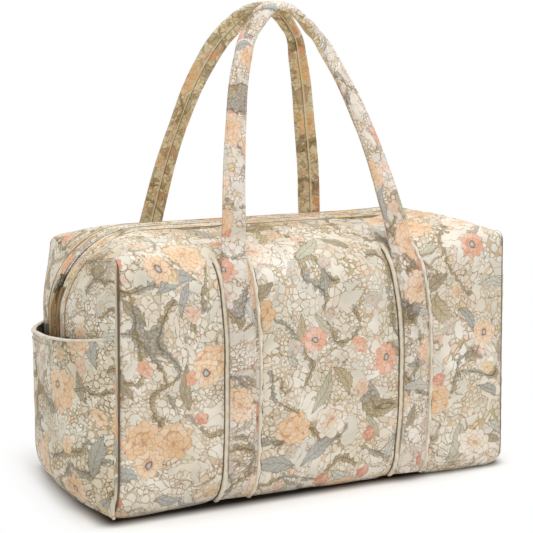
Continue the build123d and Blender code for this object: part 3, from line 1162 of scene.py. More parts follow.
    def end_point(self, y: float, share: float, side: Side) -> Vector:
        """A point on an end: its place across the bag and its share up from the base."""
        low, high = self.seam_heights(y, side)
        z = lerp(low, high, share)
        near = min(self.s.half_depth - abs(y), z - low, high - z)
        rise = clamp(near / 0.012)
        round_off = math.sqrt(1 - (1 - rise) ** 2)
        x = self.s.seam_x + (self.end_x(y, z, side) - self.s.seam_x) * round_off
        return Vector((self.drawn(side.sign * x, y, z), y, z))


class Skin:
    """A finished sheet that other pieces are laid on."""

    def __init__(self, bm: bmesh.types.BMesh) -> None:
        """Keeps a search tree of the sheet."""
        self.tree = BVHTree.FromBMesh(bm)

    def lift(self, place: Vector, height: float) -> Vector:
        """The nearest point of the sheet to a place, raised off it."""
        spot, normal, _, _ = self.tree.find_nearest(place)
        return spot + normal * height

    def normal(self, place: Vector) -> Vector:
        """The sheet's outward direction near a place."""
        return self.tree.find_nearest(place)[1]


# The bag's sub-assemblies


class Finishes:
    """Every material of the bag."""

    def __init__(self, plan: "StrapPlan", panel_length: float) -> None:
        """Builds the materials once, with the straps' sewn line and the panels' streaks in their places; the sewn
        line paints a seam's highlight and shade, the streaks paint the shade of gathers.

        Args:
            plan: The straps' plan.
            panel_length: The length of the front panel's section.
        """
        self.print_cloth = FlowerPrint(shade=ink(251, 247, 242), ruled_from=panel_length - 0.052).material()
        self.end_cloth = FlowerPrint("flower_print_ends", (3.31, 1.72), shade=ink(255, 250, 240), drawn=1.35,
                                     bough_from=0.45, outline=ink(112, 88, 58)).material()
        self.strap_cloth = FlowerPrint("flower_print_straps", (5.17, 4.4), shade=ink(248, 243, 242),
                                       drawn=1.3, bough_from=0.46).material()
        # The underside's copy of the print is tinted warmer and blotched with olive blocks: the cloth's olive-tan
        # back together with painted shade of the handles' inner faces.
        self.strap_under_tint_and_shade = FlowerPrint("flower_print_underside", (7.7, 2.9), shade=ink(255, 244, 214),
                                       bold=0.5, sewn_line=plan.print_scale * plan.rim().length * 0.75).material()
        self.gusset_cloth = FlowerPrint("flower_print_gussets", (9.2, 6.1), shade=ink(253, 247, 236),
                                        ruled_from=0.0, ruled_along=True).material()
        # Dark brown painted shade for the inside of the end pockets and for the bag's inside seen under the zip
        # on the ends.
        self.pocket_painted_shade = TrimCloth("pocket_painted_shade", ink(88, 68, 44), ink(52, 40, 26)).material()
        self.lining = TrimCloth("brown_lining", ink(168, 138, 92), ink(112, 86, 52)).material()
        self.channel = StripedTape().material()
        self.binding = TrimCloth("cream_binding", ink(231, 223, 206), ink(206, 193, 168)).material()
        self.piping = TrimCloth("brown_piping", ink(112, 92, 66), ink(74, 58, 40)).material()
        self.tape = TrimCloth("zip_tape", ink(206, 203, 192), ink(132, 126, 112), 0.0012).material()
        self.metal = ZipMetal().material()
        self.slider = ZipMetal("slider_metal", ink(150, 138, 116), ink(74, 64, 48)).material()
        self.board = StiffBoard().material()
        self.thread = TrimCloth("sewing_thread", ink(214, 202, 180), ink(166, 150, 122), 0.0006).material()


def dress(piece: bpy.types.Object, material: bpy.types.Material, slot: str, *nodes: str) -> bpy.types.Object:
    """Gives a piece its material, its body and the nodes that it stands for.

    Args:
        piece: The piece.
        material: Its finish.
        slot: The record's material slot; not used.
        nodes: The nodes that it replaces.

    Returns:
        The piece.
    """
    piece.data.materials.append(material)
    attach(piece, "bag")
    if nodes:
        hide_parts(*nodes)
    LOG.info("%s: %d faces", piece.name, len(piece.data.polygons))
    return piece


@dataclass
class StrapPlan:
    """Where the straps run on the long sides."""

    spacing: float = 0.224
    width: float = 0.0318
    thickness: float = 0.0075
    band_width: float = 0.0458
    binding_width: float = 0.0055
    band_shift: float = 0.003
    band_rise: float = 0.0016
    end_height: float = 0.046
    left_line: tuple[tuple[float, float], ...] = (
        (0.03, -0.1060), (0.10, -0.1040), (0.18, -0.1030), (0.218, -0.1042), (0.253, -0.1084), (0.31, -0.1125))
    right_line: tuple[tuple[float, float], ...] = (
        (0.03, 0.1195), (0.10, 0.1235), (0.178, 0.1250), (0.216, 0.1220), (0.262, 0.1135), (0.31, 0.1030))
    print_scale: float = 1.15
    edge_power: float = 0.55
    face_power: float = 0.75

    def rim(self) -> "Line":
        """The outline of the strap's section, from its left edge over the outer face and back under."""
        points = []
        for i in range(97):
            turn = math.tau * i / 96
            points.append(Vector((self.width / 2 * squared(math.cos(turn), self.edge_power),
                                  self.thickness / 2 * squared(math.sin(turn), self.face_power), 0.0)))
        return Line(points)

    def line_x(self, hand: Side, side: Side, z: float) -> float:
        """The middle of a strap at a height, leaning a little on the front as the cloth hangs."""
        base = hand.sign * self.spacing / 2
        if side is Side.HIGH:
            return base
        rows = self.left_line if hand is Side.LOW else self.right_line
        return (along_table(rows, z - 0.016) + along_table(rows, z) + along_table(rows, z + 0.016)) / 3


@dataclass
class Panels:
    """The soft walls of the bag: front, back, bottom and ends."""

    form: BodyForm
    straps: StrapPlan
    finishes: Finishes
    skins: dict[Side, Skin] = field(default_factory=dict)
    puff: float = 0.0032
    belly: float = 0.0045
    wander: float = 0.0026
    # Where the end's faces take the dark brown painted shade of the pocket's inside: its lowest height, its top
    # and its half width.
    pocket_painted_shade_low: float = 0.11
    pocket_painted_shade_top: float = 0.200
    pocket_painted_shade_half: float = 0.104

    def build(self) -> None:
        """Makes all the panels."""
        for side in Side:
            self.wall(side)
        for side in Side:
            self.end(side)
        self.bottom()

    def wall_relief(self, side: Side) -> Relief:
        """How the front or back swells, puckers and folds.

        Args:
            side: Front or back.

        Returns:
            The relief over shares across and along.
        """
        form, plan = self.form, self.straps
        seam = form.s.seam_x
        seed = Vector((3.1 * side.sign, 7.7, 1.3))

        def relief(u: float, v: float) -> float:
            """Movement along the normal at one place."""
            x = -side.sign * lerp(-seam, seam, u)
            section = form.section(x, side)
            run = v * section.length
            z = section.at(v).z
            here = Vector((x, run, 0.0)) + seed
            to_seam = seam - abs(x)
            to_top = section.length - run
            edge = min(to_seam, to_top, run)
            hold = 1 - math.exp(-max(0.0, edge) / lerp(0.007, 0.03, ease((z - 0.25) / 0.03)))
            swell = self.puff * hold
            swell += self.belly * math.sin(math.pi * clamp(u)) ** 0.8 * math.exp(-((z - 0.13) / 0.1) ** 2)
            swell += self.wander * hold * (ripple(here, 8.0) + 0.45 * ripple(here, 19.0))
            pucker = math.sin(run / 0.0031 + 4 * ripple(here, 21.0)) * math.exp(-to_seam / 0.014)
            swell += 0.0009 * pucker * hold
            for hand in Side:
                off = abs(x - plan.line_x(hand, side, z))
                half = plan.band_width / 2
                swell -= 0.0020 * ease((half + 0.012 - off) / 0.014)
                near = math.exp(-max(0.0, off - half) / 0.016) * ease((off - half) / 0.006)
                swell += 0.0010 * near * math.sin(run / 0.0042 + 5 * ripple(here, 17.0))
            ridge = ease((run / section.length - 0.8) / 0.08) * ease(to_top / 0.006)
            swell += 0.0013 * ridge * math.sin(to_top / 0.0021 + 2.5 * ripple(Vector((x, 0.0, 2.0)), 9.0))
            drag = ripple(Vector((x * 6 + run * 9, x * 16 - run * 5, 4.0 + side.sign)), 1.0)
            swell += 0.0019 * hold * abs(drag)
            swell -= 0.004 * ease((run / section.length - 0.72) / 0.2) * math.exp(-(x / 0.11) ** 2) * hold
            return swell

        return relief

    def wall(self, side: Side) -> None:
        """Makes the front or the back."""
        form = self.form
        seam = form.s.seam_x
        name = side.face
        length = form.section(0.0).length

        def place(u: float, v: float) -> Vector:
            """A point of the wall's plain form."""
            return form.wall_point(-side.sign * lerp(-seam, seam, u), v, side)

        chart = flat_chart(2 * seam, length, (0.9 * (side.sign + 1), 0.0))
        bm = sheet_mesh(Cells(168, 126), place, chart, self.wall_relief(side))
        self.skins[side] = Skin(bm)
        piece = to_object(bm, name + "_cloth")
        thicken(piece, form.s.cloth)
        dress(piece, self.finishes.print_cloth, "print_cloth", name + "_panel")

    def end(self, side: Side) -> None:
        """Makes one end, with painted shade on its faces inside the pocket's mouth and under the zip."""
        form = self.form
        half = form.s.half_depth
        name = side.hand

        def place(u: float, v: float) -> Vector:
            """A point of the end's plain form."""
            return form.end_point(side.sign * lerp(-half, half, u), v, side)

        def relief(u: float, v: float) -> float:
            """How the end swells and wanders."""
            here = place(u, v)
            low, high = form.seam_heights(here.y, side)
            edge = min(half - abs(here.y), here.z - low, high - here.z)
            hold = 1 - math.exp(-max(0.0, edge) / lerp(0.010, 0.03, ease((here.z - 0.25) / 0.03)))
            lane = ease((abs(here.y) - form.s.gusset_reach) / 0.02)
            swell = 0.0022 * hold * lane
            swell += 0.0028 * hold * lane * ripple(here, 13.0)
            pucker = math.sin(here.z / 0.0034 + 4 * ripple(here, 20.0)) * math.exp(-edge / 0.013)
            return swell + 0.0008 * pucker * hold

        chart = flat_chart(2 * half, form.s.height, (0.5 * side.sign, 0.0))
        bm = sheet_mesh(Cells(84, 96), place, chart, relief)
        # Faces low in the pocket's mouth, and a strip down the middle under the zip, get the second, dark brown
        # finish: painted shade of the inside of the pocket and of the bag.
        for face in bm.faces:
            middle = face.calc_center_median()
            low_down = middle.z < self.pocket_painted_shade_top
            shade_reach = self.pocket_painted_shade_half if low_down else form.s.zip_half_width
            in_painted_shade = self.pocket_painted_shade_low < middle.z and abs(middle.y) < shade_reach
            face.material_index = 1 if in_painted_shade else 0
        piece = to_object(bm, name + "_end_cloth")
        thicken(piece, form.s.cloth)
        dress(piece, self.finishes.end_cloth, "print_cloth", name + "_end_panel")
        piece.data.materials.append(self.finishes.pocket_painted_shade)

    def bottom(self) -> None:
        """Makes the underside, flat where it rests."""
        form = self.form
        seam, half = form.s.seam_x, form.s.half_depth - form.s.base_radius

        def place(u: float, v: float) -> Vector:
            """A point of the underside."""
            x = lerp(-seam, seam, u)
            front, back = (form.s.half_depth - form.base_round(x, side) for side in Side)
            y = lerp(back, -front, v)
            return Vector((form.drawn(x, y, 0.0), y, form.foot_z(x, y)))

        chart = flat_chart(2 * seam, 2 * half, (0.4, 0.6))
        piece = to_object(sheet_mesh(Cells(80, 30), place, chart), "bottom_cloth")
        thicken(piece, form.s.cloth)
        dress(piece, self.finishes.print_cloth, "print_cloth", "bottom_panel")


@dataclass
class Zip:
    """The zip's lane: gussets, tapes, teeth and the metal runner."""

    form: BodyForm
    finishes: Finishes
    end_height: float = 0.165
    tooth_pitch: float = 0.0030
    tooth_size: tuple[float, float, float] = (0.0017, 0.0034, 0.0020)
    lip: float = 0.0009
    open_share: float = 0.122
    channel_near: float = 0.0066
    channel_half: float = 0.0175

    def __post_init__(self) -> None:
        """Works out the zip's line over the top and down both ends."""
        s = self.form.s
        half = [Vector((0.0, 0.0, s.height))]
        centre = Vector((s.half_zip_length - s.end_arc_radius, 0.0, s.height - s.end_arc_radius))
        for i in range(1, 41):
            half.append(Vector((centre.x * i / 40, 0.0, s.height)))
        for i in range(1, 41):
            turn = math.pi / 2 * (1 - i / 40)
            half.append(centre + Vector((math.cos(turn), 0.0, math.sin(turn))) * s.end_arc_radius)
        for i in range(1, 11):
            half.append(Vector((s.half_zip_length, 0.0, lerp(centre.z, self.end_height, i / 10))))
        left = [Vector((-p.x, 0.0, p.z)) for p in reversed(half[1:])]
        swell = self.form.swell_up
        risen = [p + Vector((0.0, 0.0, swell(p.x, 0.0) * ease((p.z - 0.24) / 0.05))) for p in half]
        self.path = Line(left + risen)

    def out(self, share: float) -> Vector:
        """The outward direction at a share of the zip's line."""
        heading = self.path.heading(share)
        return Vector((-heading.z, 0.0, heading.x))

    def build(self) -> None:
        """Makes the lane."""
        for side in Side:
            self.gusset(side)
            self.tape(side)
            self.teeth(side)
            self.seam_line(side)
            self.channel(side)
        for node in ("left_zip_stop", "right_zip_stop", "zip_slider", "zip_pull"):
            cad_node(node, self.finishes.slider)
        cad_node("base_board", self.finishes.board)

    def strip(self, side: Side, span: tuple[float, float], part: tuple[float, float], cells: Cells,
              lift: Callable[[float, float], float]) -> bmesh.types.BMesh:
        """A strip of cloth that runs along the zip's line.

        Args:
            side: The side of the zip.
            span: Its near and far edges, from the middle of the zip.
            part: The shares of the zip's line where it starts and ends.
            cells: Its mesh cells.
            lift: Its height over the zip's line, from a distance across and a share.

        Returns:
            The mesh, facing outwards.
        """
        near, far = span

        def place(u: float, v: float) -> Vector:
            """A point of the strip."""
            share = lerp(part[0], part[1], v)
            across = lerp(far, near, u) if side is Side.LOW else lerp(near, far, u)
            return (self.path.at(share) + self.out(share) * lift(across, share)
                    + Vector((0.0, side.sign * across, 0.0)))

        chart = flat_chart(far - near, self.path.length * (part[1] - part[0]),
                           (0.0, self.path.length * part[0] + 0.37 * side.sign))
        bm = sheet_mesh(cells, place, chart)
        bmesh.ops.reverse_faces(bm, faces=bm.faces)
        return bm

    def gusset(self, side: Side) -> None:
        """Makes the cloth strip beside the teeth, turned under in a raised lip next to them."""
        s = self.form.s
        name = side.face
        inner, outer = s.zip_half_width - 0.0022, s.gusset_reach + 0.0012

        def lift(across: float, share: float) -> float:
            """Its height over the zip's line."""
            run = across - inner
            high = 0.0006 + self.lip * math.exp(-((run - 0.0022) / 0.0021) ** 2)
            high += 0.0011 * math.exp(-((run - 0.0085) / 0.0026) ** 2)
            high += 0.0010 * math.exp(-((run - 0.0155) / 0.0030) ** 2)
            high += 0.0008 * ripple(Vector((share * 5.0, across * 30, 3.0 * side.sign)), 6.0)
            high -= 0.0014 * ease((across - outer + 0.004) / 0.004)
            return high - 0.0012 * ease((0.0012 - run) / 0.0012)

        bm = self.strip(side, (inner, outer), (0.0, 1.0), Cells(24, 260), lift)
        piece = to_object(bm, name + "_zip_cloth")
        thicken(piece, 0.0008)
        dress(piece, self.finishes.gusset_cloth, "print_cloth", name + "_zip_gusset")

    def tape(self, side: Side) -> None:
        """Makes the woven tape between the teeth and the gusset, ridged along its length."""
        name = side.face
        near, far = 0.0011, self.form.s.zip_half_width - 0.0008

        def lift(across: float, share: float) -> float:
            """Its height over the zip's line."""
            return -0.0004 + 0.0008 * math.exp(-((across - 0.0045) / 0.0009) ** 2)

        shut = self.strip(side, (near, far), (self.open_share, 1.0), Cells(14, 210), lift)
        dress(to_object(shut, name + "_zip_tape_cloth"), self.finishes.tape, "zip_tape", name + "_zip_tape")
        parted = self.strip(side, (near, far), (0.0, self.open_share), Cells(14, 40), lift)
        dress(to_object(parted, name + "_zip_tape_open"), self.finishes.channel, "zip_tape")

    def seam_line(self, side: Side) -> None:
        """Makes the thin dark line where the gusset meets the panels."""
        edge = self.form.s.gusset_reach - 0.0004

        def lift(across: float, share: float) -> float:
            """Its height over the zip's line."""
            return 0.0013 * math.sin(math.pi * clamp((across - edge) / 0.0014)) - 0.0004

        bm = self.strip(side, (edge, edge + 0.0014), (0.004, 0.996), Cells(6, 220), lift)
        dress(to_object(bm, side.face + "_gusset_seam"), self.finishes.lining, "brown_piping")

    def channel(self, side: Side) -> None:
        """Makes the brown turned edge of the open zip below the slider, on the left end."""

        def lift(across: float, share: float) -> float:
            """Its height over the zip's line."""
            fade = ease((self.open_share - share) / 0.012)
            ridge = 0.0011 * math.sin(across / 0.00115) * ease((across - 0.002) / 0.004)
            return 0.0030 * fade - 0.0010 + ridge * fade

        lane = (self.channel_near, self.channel_half)
        bm = self.strip(side, lane, (0.0, self.open_share), Cells(30, 80), lift)
        name = side.face
        piece = dress(to_object(bm, name + "_zip_lining"), self.finishes.channel, "zip_tape")

    def teeth(self, side: Side) -> None:
        """Makes one row of metal teeth."""
        name = side.face
        bm = bmesh.new()
        count = int(self.path.length / self.tooth_pitch)
        for i in range(count):
            share = (i + (0.25 if side is Side.LOW else 0.75)) / count
            if share < self.open_share:
                continue
            heading, out = self.path.heading(share), self.out(share)
            across = Vector((0.0, 1.0, 0.0))
            turn = Matrix((heading, across, out)).transposed().to_4x4()
            spot = self.path.at(share) + out * 0.0006 + across * side.sign * 0.0010
            size = Matrix.Diagonal((*self.tooth_size, 1.0))
            bmesh.ops.create_cube(bm, size=1.0, matrix=Matrix.Translation(spot) @ turn @ size)
        bmesh.ops.bevel(bm, geom=bm.edges, offset=0.0004, affect="EDGES", segments=1, profile=0.5, material=-1)
        piece = to_object(bm, name + "_zip_teeth")
        piece.data.shade_flat()
        dress(piece, self.finishes.metal, "zip_metal", name + "_zip_chain")


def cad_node(name: str, material: bpy.types.Material) -> None:
    """Gives a node of the frame its finish."""
    node = bpy.data.objects[name]
    if not node.data.materials:
        node.data.materials.append(material)
    for place in range(len(node.data.materials)):
        node.data.materials[place] = material


@dataclass
class Seat:
    """Where one stitch lies: its middle, the way it runs and the cloth's outward direction."""

    middle: Vector
    heading: Vector
    out: Vector


@dataclass
class Stitching:
    """Rows of small raised stitches."""

    finishes: Finishes
    length: float = 0.0027
    width: float = 0.0009
    height: float = 0.0006
    lot: int = 24

    def sew(self, seats: list[Seat], name: str) -> None:
        """Makes one piece of all the stitches of a seam.

        Args:
            seats: Where they lie.
            name: The piece's name.
        """
        bm = bmesh.new()
        for start in range(0, len(seats), self.lot):
            lot = bmesh.new()
            for seat in seats[start:start + self.lot]:
                across = seat.out.cross(seat.heading).normalized()
                turn = Matrix((seat.heading, across, seat.out)).transposed().to_4x4()
                size = Matrix.Diagonal((self.length / 2, self.width / 2, self.height, 1.0))
                bmesh.ops.create_uvsphere(lot, u_segments=6, v_segments=4, radius=1.0,
                                          matrix=Matrix.Translation(seat.middle) @ turn @ size)
            add_mesh(bm, lot)
        dress(to_object(bm, name), self.finishes.thread, "cream_binding")


@dataclass
class EndPocket:
    """An open pocket on one end, with a folded rim that gapes."""

    form: BodyForm
    finishes: Finishes
    side: Side
    half_width: float = 0.1285
    foot: float = 0.009
    rim: float = 0.196
    rim_rise: float = 0.0155
    bulge: float = 0.0185
    rim_bulge: float = 0.0165
    wall: float = 0.0026
    hem: float = 0.0024
    rim_girth: float = 0.0102
    stitch_pitch: float = 0.0048
    stitch_share: float = 0.945

    def point(self, a: float, z: float, share: float) -> Vector:
        """A point of the pocket: across from -1 to 1, its height, and its share up the pocket."""
        y = a * self.half_width * (1 - 0.09 * ease((share - 0.7) / 0.3) * clamp(-a * 4))
        base = max(self.form.end_x(y, max(z, 0.012), self.side), self.form.s.seam_x + 0.002)
        stand = (1 - abs(a) ** 2.6) ** 0.75
        rise = 1 - (1 - clamp((share - 0.02) / 0.24)) ** 2.4
        full = lerp(self.bulge, self.rim_bulge, ease((share - 0.5) / 0.5))
        here = Vector((a * 0.12, z, 5.0 * self.side.sign))
        soft = 0.0022 * ripple(here, 15.0) + 0.0016 * ripple(here, 34.0)
        gape = 0.0022 * math.sin(a * 5.2 + 0.6) * ease((share - 0.7) / 0.3)
        out = 0.0012 + (full * rise + soft * rise + gape) * stand
        if abs(a) > 0.985:
            out = min(out, 0.0012)
        edge = self.form.s.half_length + 0.0005
        reach = lerp(base, edge, ease((abs(a) - 0.86) / 0.14) * 0.9)
        return Vector((self.form.drawn(self.side.sign * reach, y, z) + self.side.sign * out, y, z))

    def rim_z(self, a: float) -> float:
        """Height of the rim, which dips between the seams."""
        rise = self.rim_rise * (abs(a) ** 1.1 if a < 0 else -0.45 * a ** 1.2)
        return self.rim + rise + 0.0012 * math.sin(a * 4.1 + 1.0)

    def spot(self, u: float, share: float) -> Vector:
        """A point of the pocket by its shares."""
        a = self.side.sign * lerp(-1.0, 1.0, u)
        return self.point(a, lerp(self.foot, self.rim_z(a), share), share)

    def build(self) -> None:
        """Makes the pocket and its rim."""
        name = self.side.hand
        width, tall = 2 * self.half_width + 0.02, self.rim - self.foot

        def relief(u: float, v: float) -> float:
            """Small folds that hang from the seams and pull up from the foot."""
            a = lerp(-1.0, 1.0, u)
            here = Vector((a * 0.12, v * tall, 2.0 * self.side.sign))
            near = math.exp(-(1 - abs(a)) / 0.09)
            fold = 0.0012 * near * math.sin(v * tall / 0.0042 + 4 * ripple(here, 16.0))
            low = 0.0012 * math.exp(-v / 0.13) * math.sin(a * 21 + 4 * ripple(here, 14.0)) * ease(v / 0.04)
            return (fold + low) * (1 - ease((v - 0.9) / 0.1))

        chart = flat_chart(width, tall, (1.3 + 0.7 * self.side.sign, 0.21))
        bm = sheet_mesh(Cells(90, 66), self.spot, chart, relief)
        piece = to_object(bm, name + "_pocket_cloth")
        thicken(piece, self.wall)
        dress(piece, self.finishes.end_cloth, "print_cloth", name + "_pocket")
        self.rim_fold(name, width)
        seats = []
        count = int(width / self.stitch_pitch)
        for i in range(4, count - 3):
            u = i / count
            here, ahead = self.spot(u, self.stitch_share), self.spot(u + 0.004, self.stitch_share)
            above = self.spot(u, self.stitch_share + 0.03)
            heading = (ahead - here).normalized()
            out = heading.cross((above - here).normalized()).normalized()
            seats.append(Seat(here + out * 0.0003, heading, out))
        Stitching(self.finishes).sew(seats, name + "_pocket_stitches")

    def rim_fold(self, name: str, width: float) -> None:
        """Makes the folded binding over the rim."""
        profile = [(0.0012, -1.0), (0.0017, -0.95), (0.0019, -0.6), (0.0018, -0.15), (0.0010, 0.12),
                   (-0.0008, 0.2), (-0.0028, 0.14), (-0.0042, -0.1), (-0.0044, -0.5), (-0.0038, -0.7)]
        parts = [tuple(enumerate(part)) for part in zip(*profile)]

        def place(u: float, v: float) -> Vector:
            """A point of the fold."""
            a = self.side.sign * lerp(-0.995, 0.995, u)
            out, rise = (along_table(part, v * (len(profile) - 1)) for part in parts)
            z = self.rim_z(a) + rise * self.hem
            share = (z - self.foot) / (self.rim_z(a) - self.foot)
            spot = self.point(a, z, share)
            return spot + Vector((self.side.sign * (out + 0.0002), 0.0, 0.0))

        chart = flat_chart(width, self.rim_girth)
        piece = to_object(sheet_mesh(Cells(90, 27), place, chart), name + "_pocket_rim")
        dress(piece, self.finishes.binding, "cream_binding", name + "_pocket_hem")


@dataclass
class SeamPiping:
    """The dark cord sewn in the seams round the ends."""

    form: BodyForm
    finishes: Finishes
    radius: float = 0.0013
    sink: float = 0.0006
    start: float = 0.012
    upright: float = 0.279

    def build(self) -> None:
        """Makes the four runs of piping."""
        for end in Side:
            for side in Side:
                self.run(end, side)

    def run(self, end: Side, side: Side) -> None:
        """Makes one run, from near the floor up to the zip's lane."""
        section = self.form.section(end.sign * self.form.s.seam_x, side)
        name = end.hand + "_" + side.face
        low = next(i for i, p in enumerate(section.points) if p.z > self.start)
        route = Line([Vector((self.form.drawn(end.sign * (p.x + 0.0006), side.sign * p.y, p.z),
                              side.sign * (p.y - self.sink), p.z - self.sink * clamp((p.z - 0.25) / 0.03)))
                      for p in section.points[low:]])
        fade = next(i for i, p in enumerate(section.points) if p.z > self.upright) - low
        turn_over = route.marks[fade] / route.length
        stout = self.radius * (1.0 if end is Side.LOW and side is Side.LOW else 0.62)

        def place(u: float, v: float) -> Vector:
            """A point of the cord's skin."""
            heading = route.heading(v)
            along_bag = Vector((1.0, 0.0, 0.0))
            out = heading.cross(along_bag).normalized()
            turn = math.tau * u
            thin = stout * (0.15 + 0.85 * math.sqrt(clamp(v / 0.006)))
            gone = ease((v - turn_over) / 0.05)
            thin *= 1 - 0.8 * gone
            ring = along_bag * math.cos(turn) + out * math.sin(turn)
            return route.at(v) - out * (0.0034 * gone) + ring * thin

        chart = flat_chart(math.tau * self.radius, route.length)
        bm = sheet_mesh(Cells(10, 150), place, chart, closed=True)
        bmesh.ops.recalc_face_normals(bm, faces=bm.faces)
        dress(to_object(bm, name + "_cord"), self.finishes.piping, "brown_piping", name + "_piping")


@dataclass
class StrapBands:
    """The sewn bands under the straps, with their pale bound edges."""

    form: BodyForm
    panels: Panels
    plan: StrapPlan
    finishes: Finishes
    low_share: float = 0.062
    top: float = 0.289

    def __post_init__(self) -> None:
        """Works out where the bands end on the panels, and their length."""
        middle = self.form.section(self.plan.spacing / 2)
        self.high_share = next(i / 200 for i in range(100, 200) if middle.at(i / 200).z > self.top)
        self.length = self.form.section(0.11).length * (self.high_share - self.low_share)

    def build(self) -> None:
        """Makes the four bands."""
        for side in Side:
            for hand in Side:
                self.band(side, hand)
                self.edges(side, hand)

    def seat(self, side: Side, hand: Side, off: float, share: float, lift: float) -> Vector:
        """A point on the panel beside the strap's middle line."""
        z = self.form.section(hand.sign * self.plan.spacing / 2, side).at(share).z
        x = self.plan.line_x(hand, side, z) + off + (self.plan.band_shift if side is Side.LOW else 0.0)
        return self.panels.skins[side].lift(self.form.wall_point(x, share, side), lift)

    def band(self, side: Side, hand: Side) -> None:
        """Makes one band."""
        half = self.plan.band_width / 2
        name = side.face + "_" + hand.hand
        length = self.length

        def place(u: float, v: float) -> Vector:
            """A point of the band."""
            off = -side.sign * lerp(-half, half, u)
            share = lerp(self.low_share, self.high_share, v)
            return self.seat(side, hand, off, share, self.plan.band_rise)

        chart = flat_chart(2 * half, length, (0.0, 0.31 * hand.sign))
        piece = to_object(sheet_mesh(Cells(16, 90), place, chart), name + "_band_cloth")
        thicken(piece, 0.0012)
        dress(piece, self.finishes.strap_cloth, "print_cloth", name + "_band")
        side.face + "_cloth"

    def edges(self, side: Side, hand: Side) -> None:
        """Makes the two bound edges of one band, rounded over, as one piece."""
        name = side.face + "_" + hand.hand
        half, wide = self.plan.band_width / 2, self.plan.binding_width
        length = self.length
        joined = bmesh.new()
        for edge in Side:
            middle = edge.sign * (half - wide / 2 + 0.0006)

            def place(u: float, v: float) -> Vector:
                """A point of one bound edge."""
                turn = math.pi * (1 - u)
                off = middle - side.sign * math.cos(turn) * wide / 2
                share = lerp(self.low_share, self.high_share, v)
                lift = self.plan.band_rise - 0.0008 + 0.0026 * math.sin(turn) ** 0.7
                lift += 0.0004 * math.sin(v * length / 0.0021)
                return self.seat(side, hand, off, share, lift)

            chart = flat_chart(wide, length)
            add_mesh(joined, sheet_mesh(Cells(10, 160), place, chart))
        piece = to_object(joined, name + "_bound_edges")
        dress(piece, self.finishes.binding, "cream_binding", name + "_bindings")
        for edge in Side:
            self.edge_line(side, hand, edge, name)

    def edge_line(self, side: Side, hand: Side, edge: Side, name: str) -> None:
        """Makes the thin dark line of turned cloth beside one bound edge."""
        out = edge.sign * (self.plan.band_width / 2 + 0.0012)
        thin = 1.0 if edge is Side.LOW else 0.5

        def place(u: float, v: float) -> Vector:
            """A point of the turned cloth."""
            turn = math.pi * (1 - u)
            off = out - side.sign * math.cos(turn) * 0.0009 * thin
            share = lerp(self.low_share, self.high_share - 0.012, v)
            return self.seat(side, hand, off, share, 0.0011 * thin * math.sin(turn) - 0.0002)

        chart = flat_chart(0.003, self.length)
        name += edge.word("_outer", "_inner") + "_line"
        line = to_object(sheet_mesh(Cells(4, 140), place, chart), name)
        dress(line, self.finishes.piping, "brown_piping")


@dataclass(frozen=True)
class LegRow:
    """One place of a strap's free leg: height, place along, shares of width and thickness, and facing."""

    z: float
    x: float
    width: float
    thick: float
    face: tuple[float, float, float]


def free_legs() -> dict[tuple[Side, Side], tuple[LegRow, ...]]:
    """The four free legs by side and hand, each from the bag up, facing away from the other strap."""
    return {
        (Side.LOW, Side.LOW): (
            LegRow(0.270, -0.1090, 1.00, 1.0, (0.0, 0.97, 0.24)),
            LegRow(0.337, -0.0998, 0.88, 1.0, (-0.03, 0.92, 0.38)),
            LegRow(0.428, -0.0820, 0.77, 1.0, (-0.12, 0.88, 0.42)),
            LegRow(0.507, -0.0592, 0.68, 1.0, (-0.26, 0.80, 0.52)),
            LegRow(0.546, -0.0378, 0.64, 1.0, (-0.26, 0.62, 0.74))),
        (Side.LOW, Side.HIGH): (
            LegRow(0.270, 0.1117, 1.00, 1.0, (0.0, 0.97, 0.24)),
            LegRow(0.337, 0.1046, 0.96, 1.0, (0.03, 0.92, 0.38)),
            LegRow(0.428, 0.0872, 0.80, 1.0, (0.12, 0.88, 0.42)),
            LegRow(0.507, 0.0606, 0.80, 1.5, (0.30, 0.60, 0.68)),
            LegRow(0.546, 0.0388, 0.92, 2.0, (0.38, 0.12, 0.90))),
        (Side.HIGH, Side.LOW): (
            LegRow(0.270, -0.1145, 1.00, 1.0, (0.0, 0.97, 0.24)),
            LegRow(0.337, -0.1088, 0.93, 1.0, (-0.03, 0.92, 0.38)),
            LegRow(0.428, -0.0920, 0.80, 1.0, (-0.08, 0.90, 0.42)),
            LegRow(0.507, -0.0668, 0.90, 1.1, (-0.03, 0.87, 0.48)),
            LegRow(0.546, -0.0424, 0.96, 1.2, (0.0, 0.76, 0.65))),
        (Side.HIGH, Side.HIGH): (
            LegRow(0.270, 0.1180, 1.00, 1.0, (0.0, 0.97, 0.24)),
            LegRow(0.337, 0.1086, 0.98, 1.0, (0.03, 0.92, 0.38)),
            LegRow(0.428, 0.0848, 0.87, 1.0, (0.12, 0.88, 0.42)),
            LegRow(0.507, 0.0596, 0.75, 1.0, (0.26, 0.80, 0.52)),
            LegRow(0.546, 0.0412, 0.60, 1.0, (0.26, 0.62, 0.74))),
    }


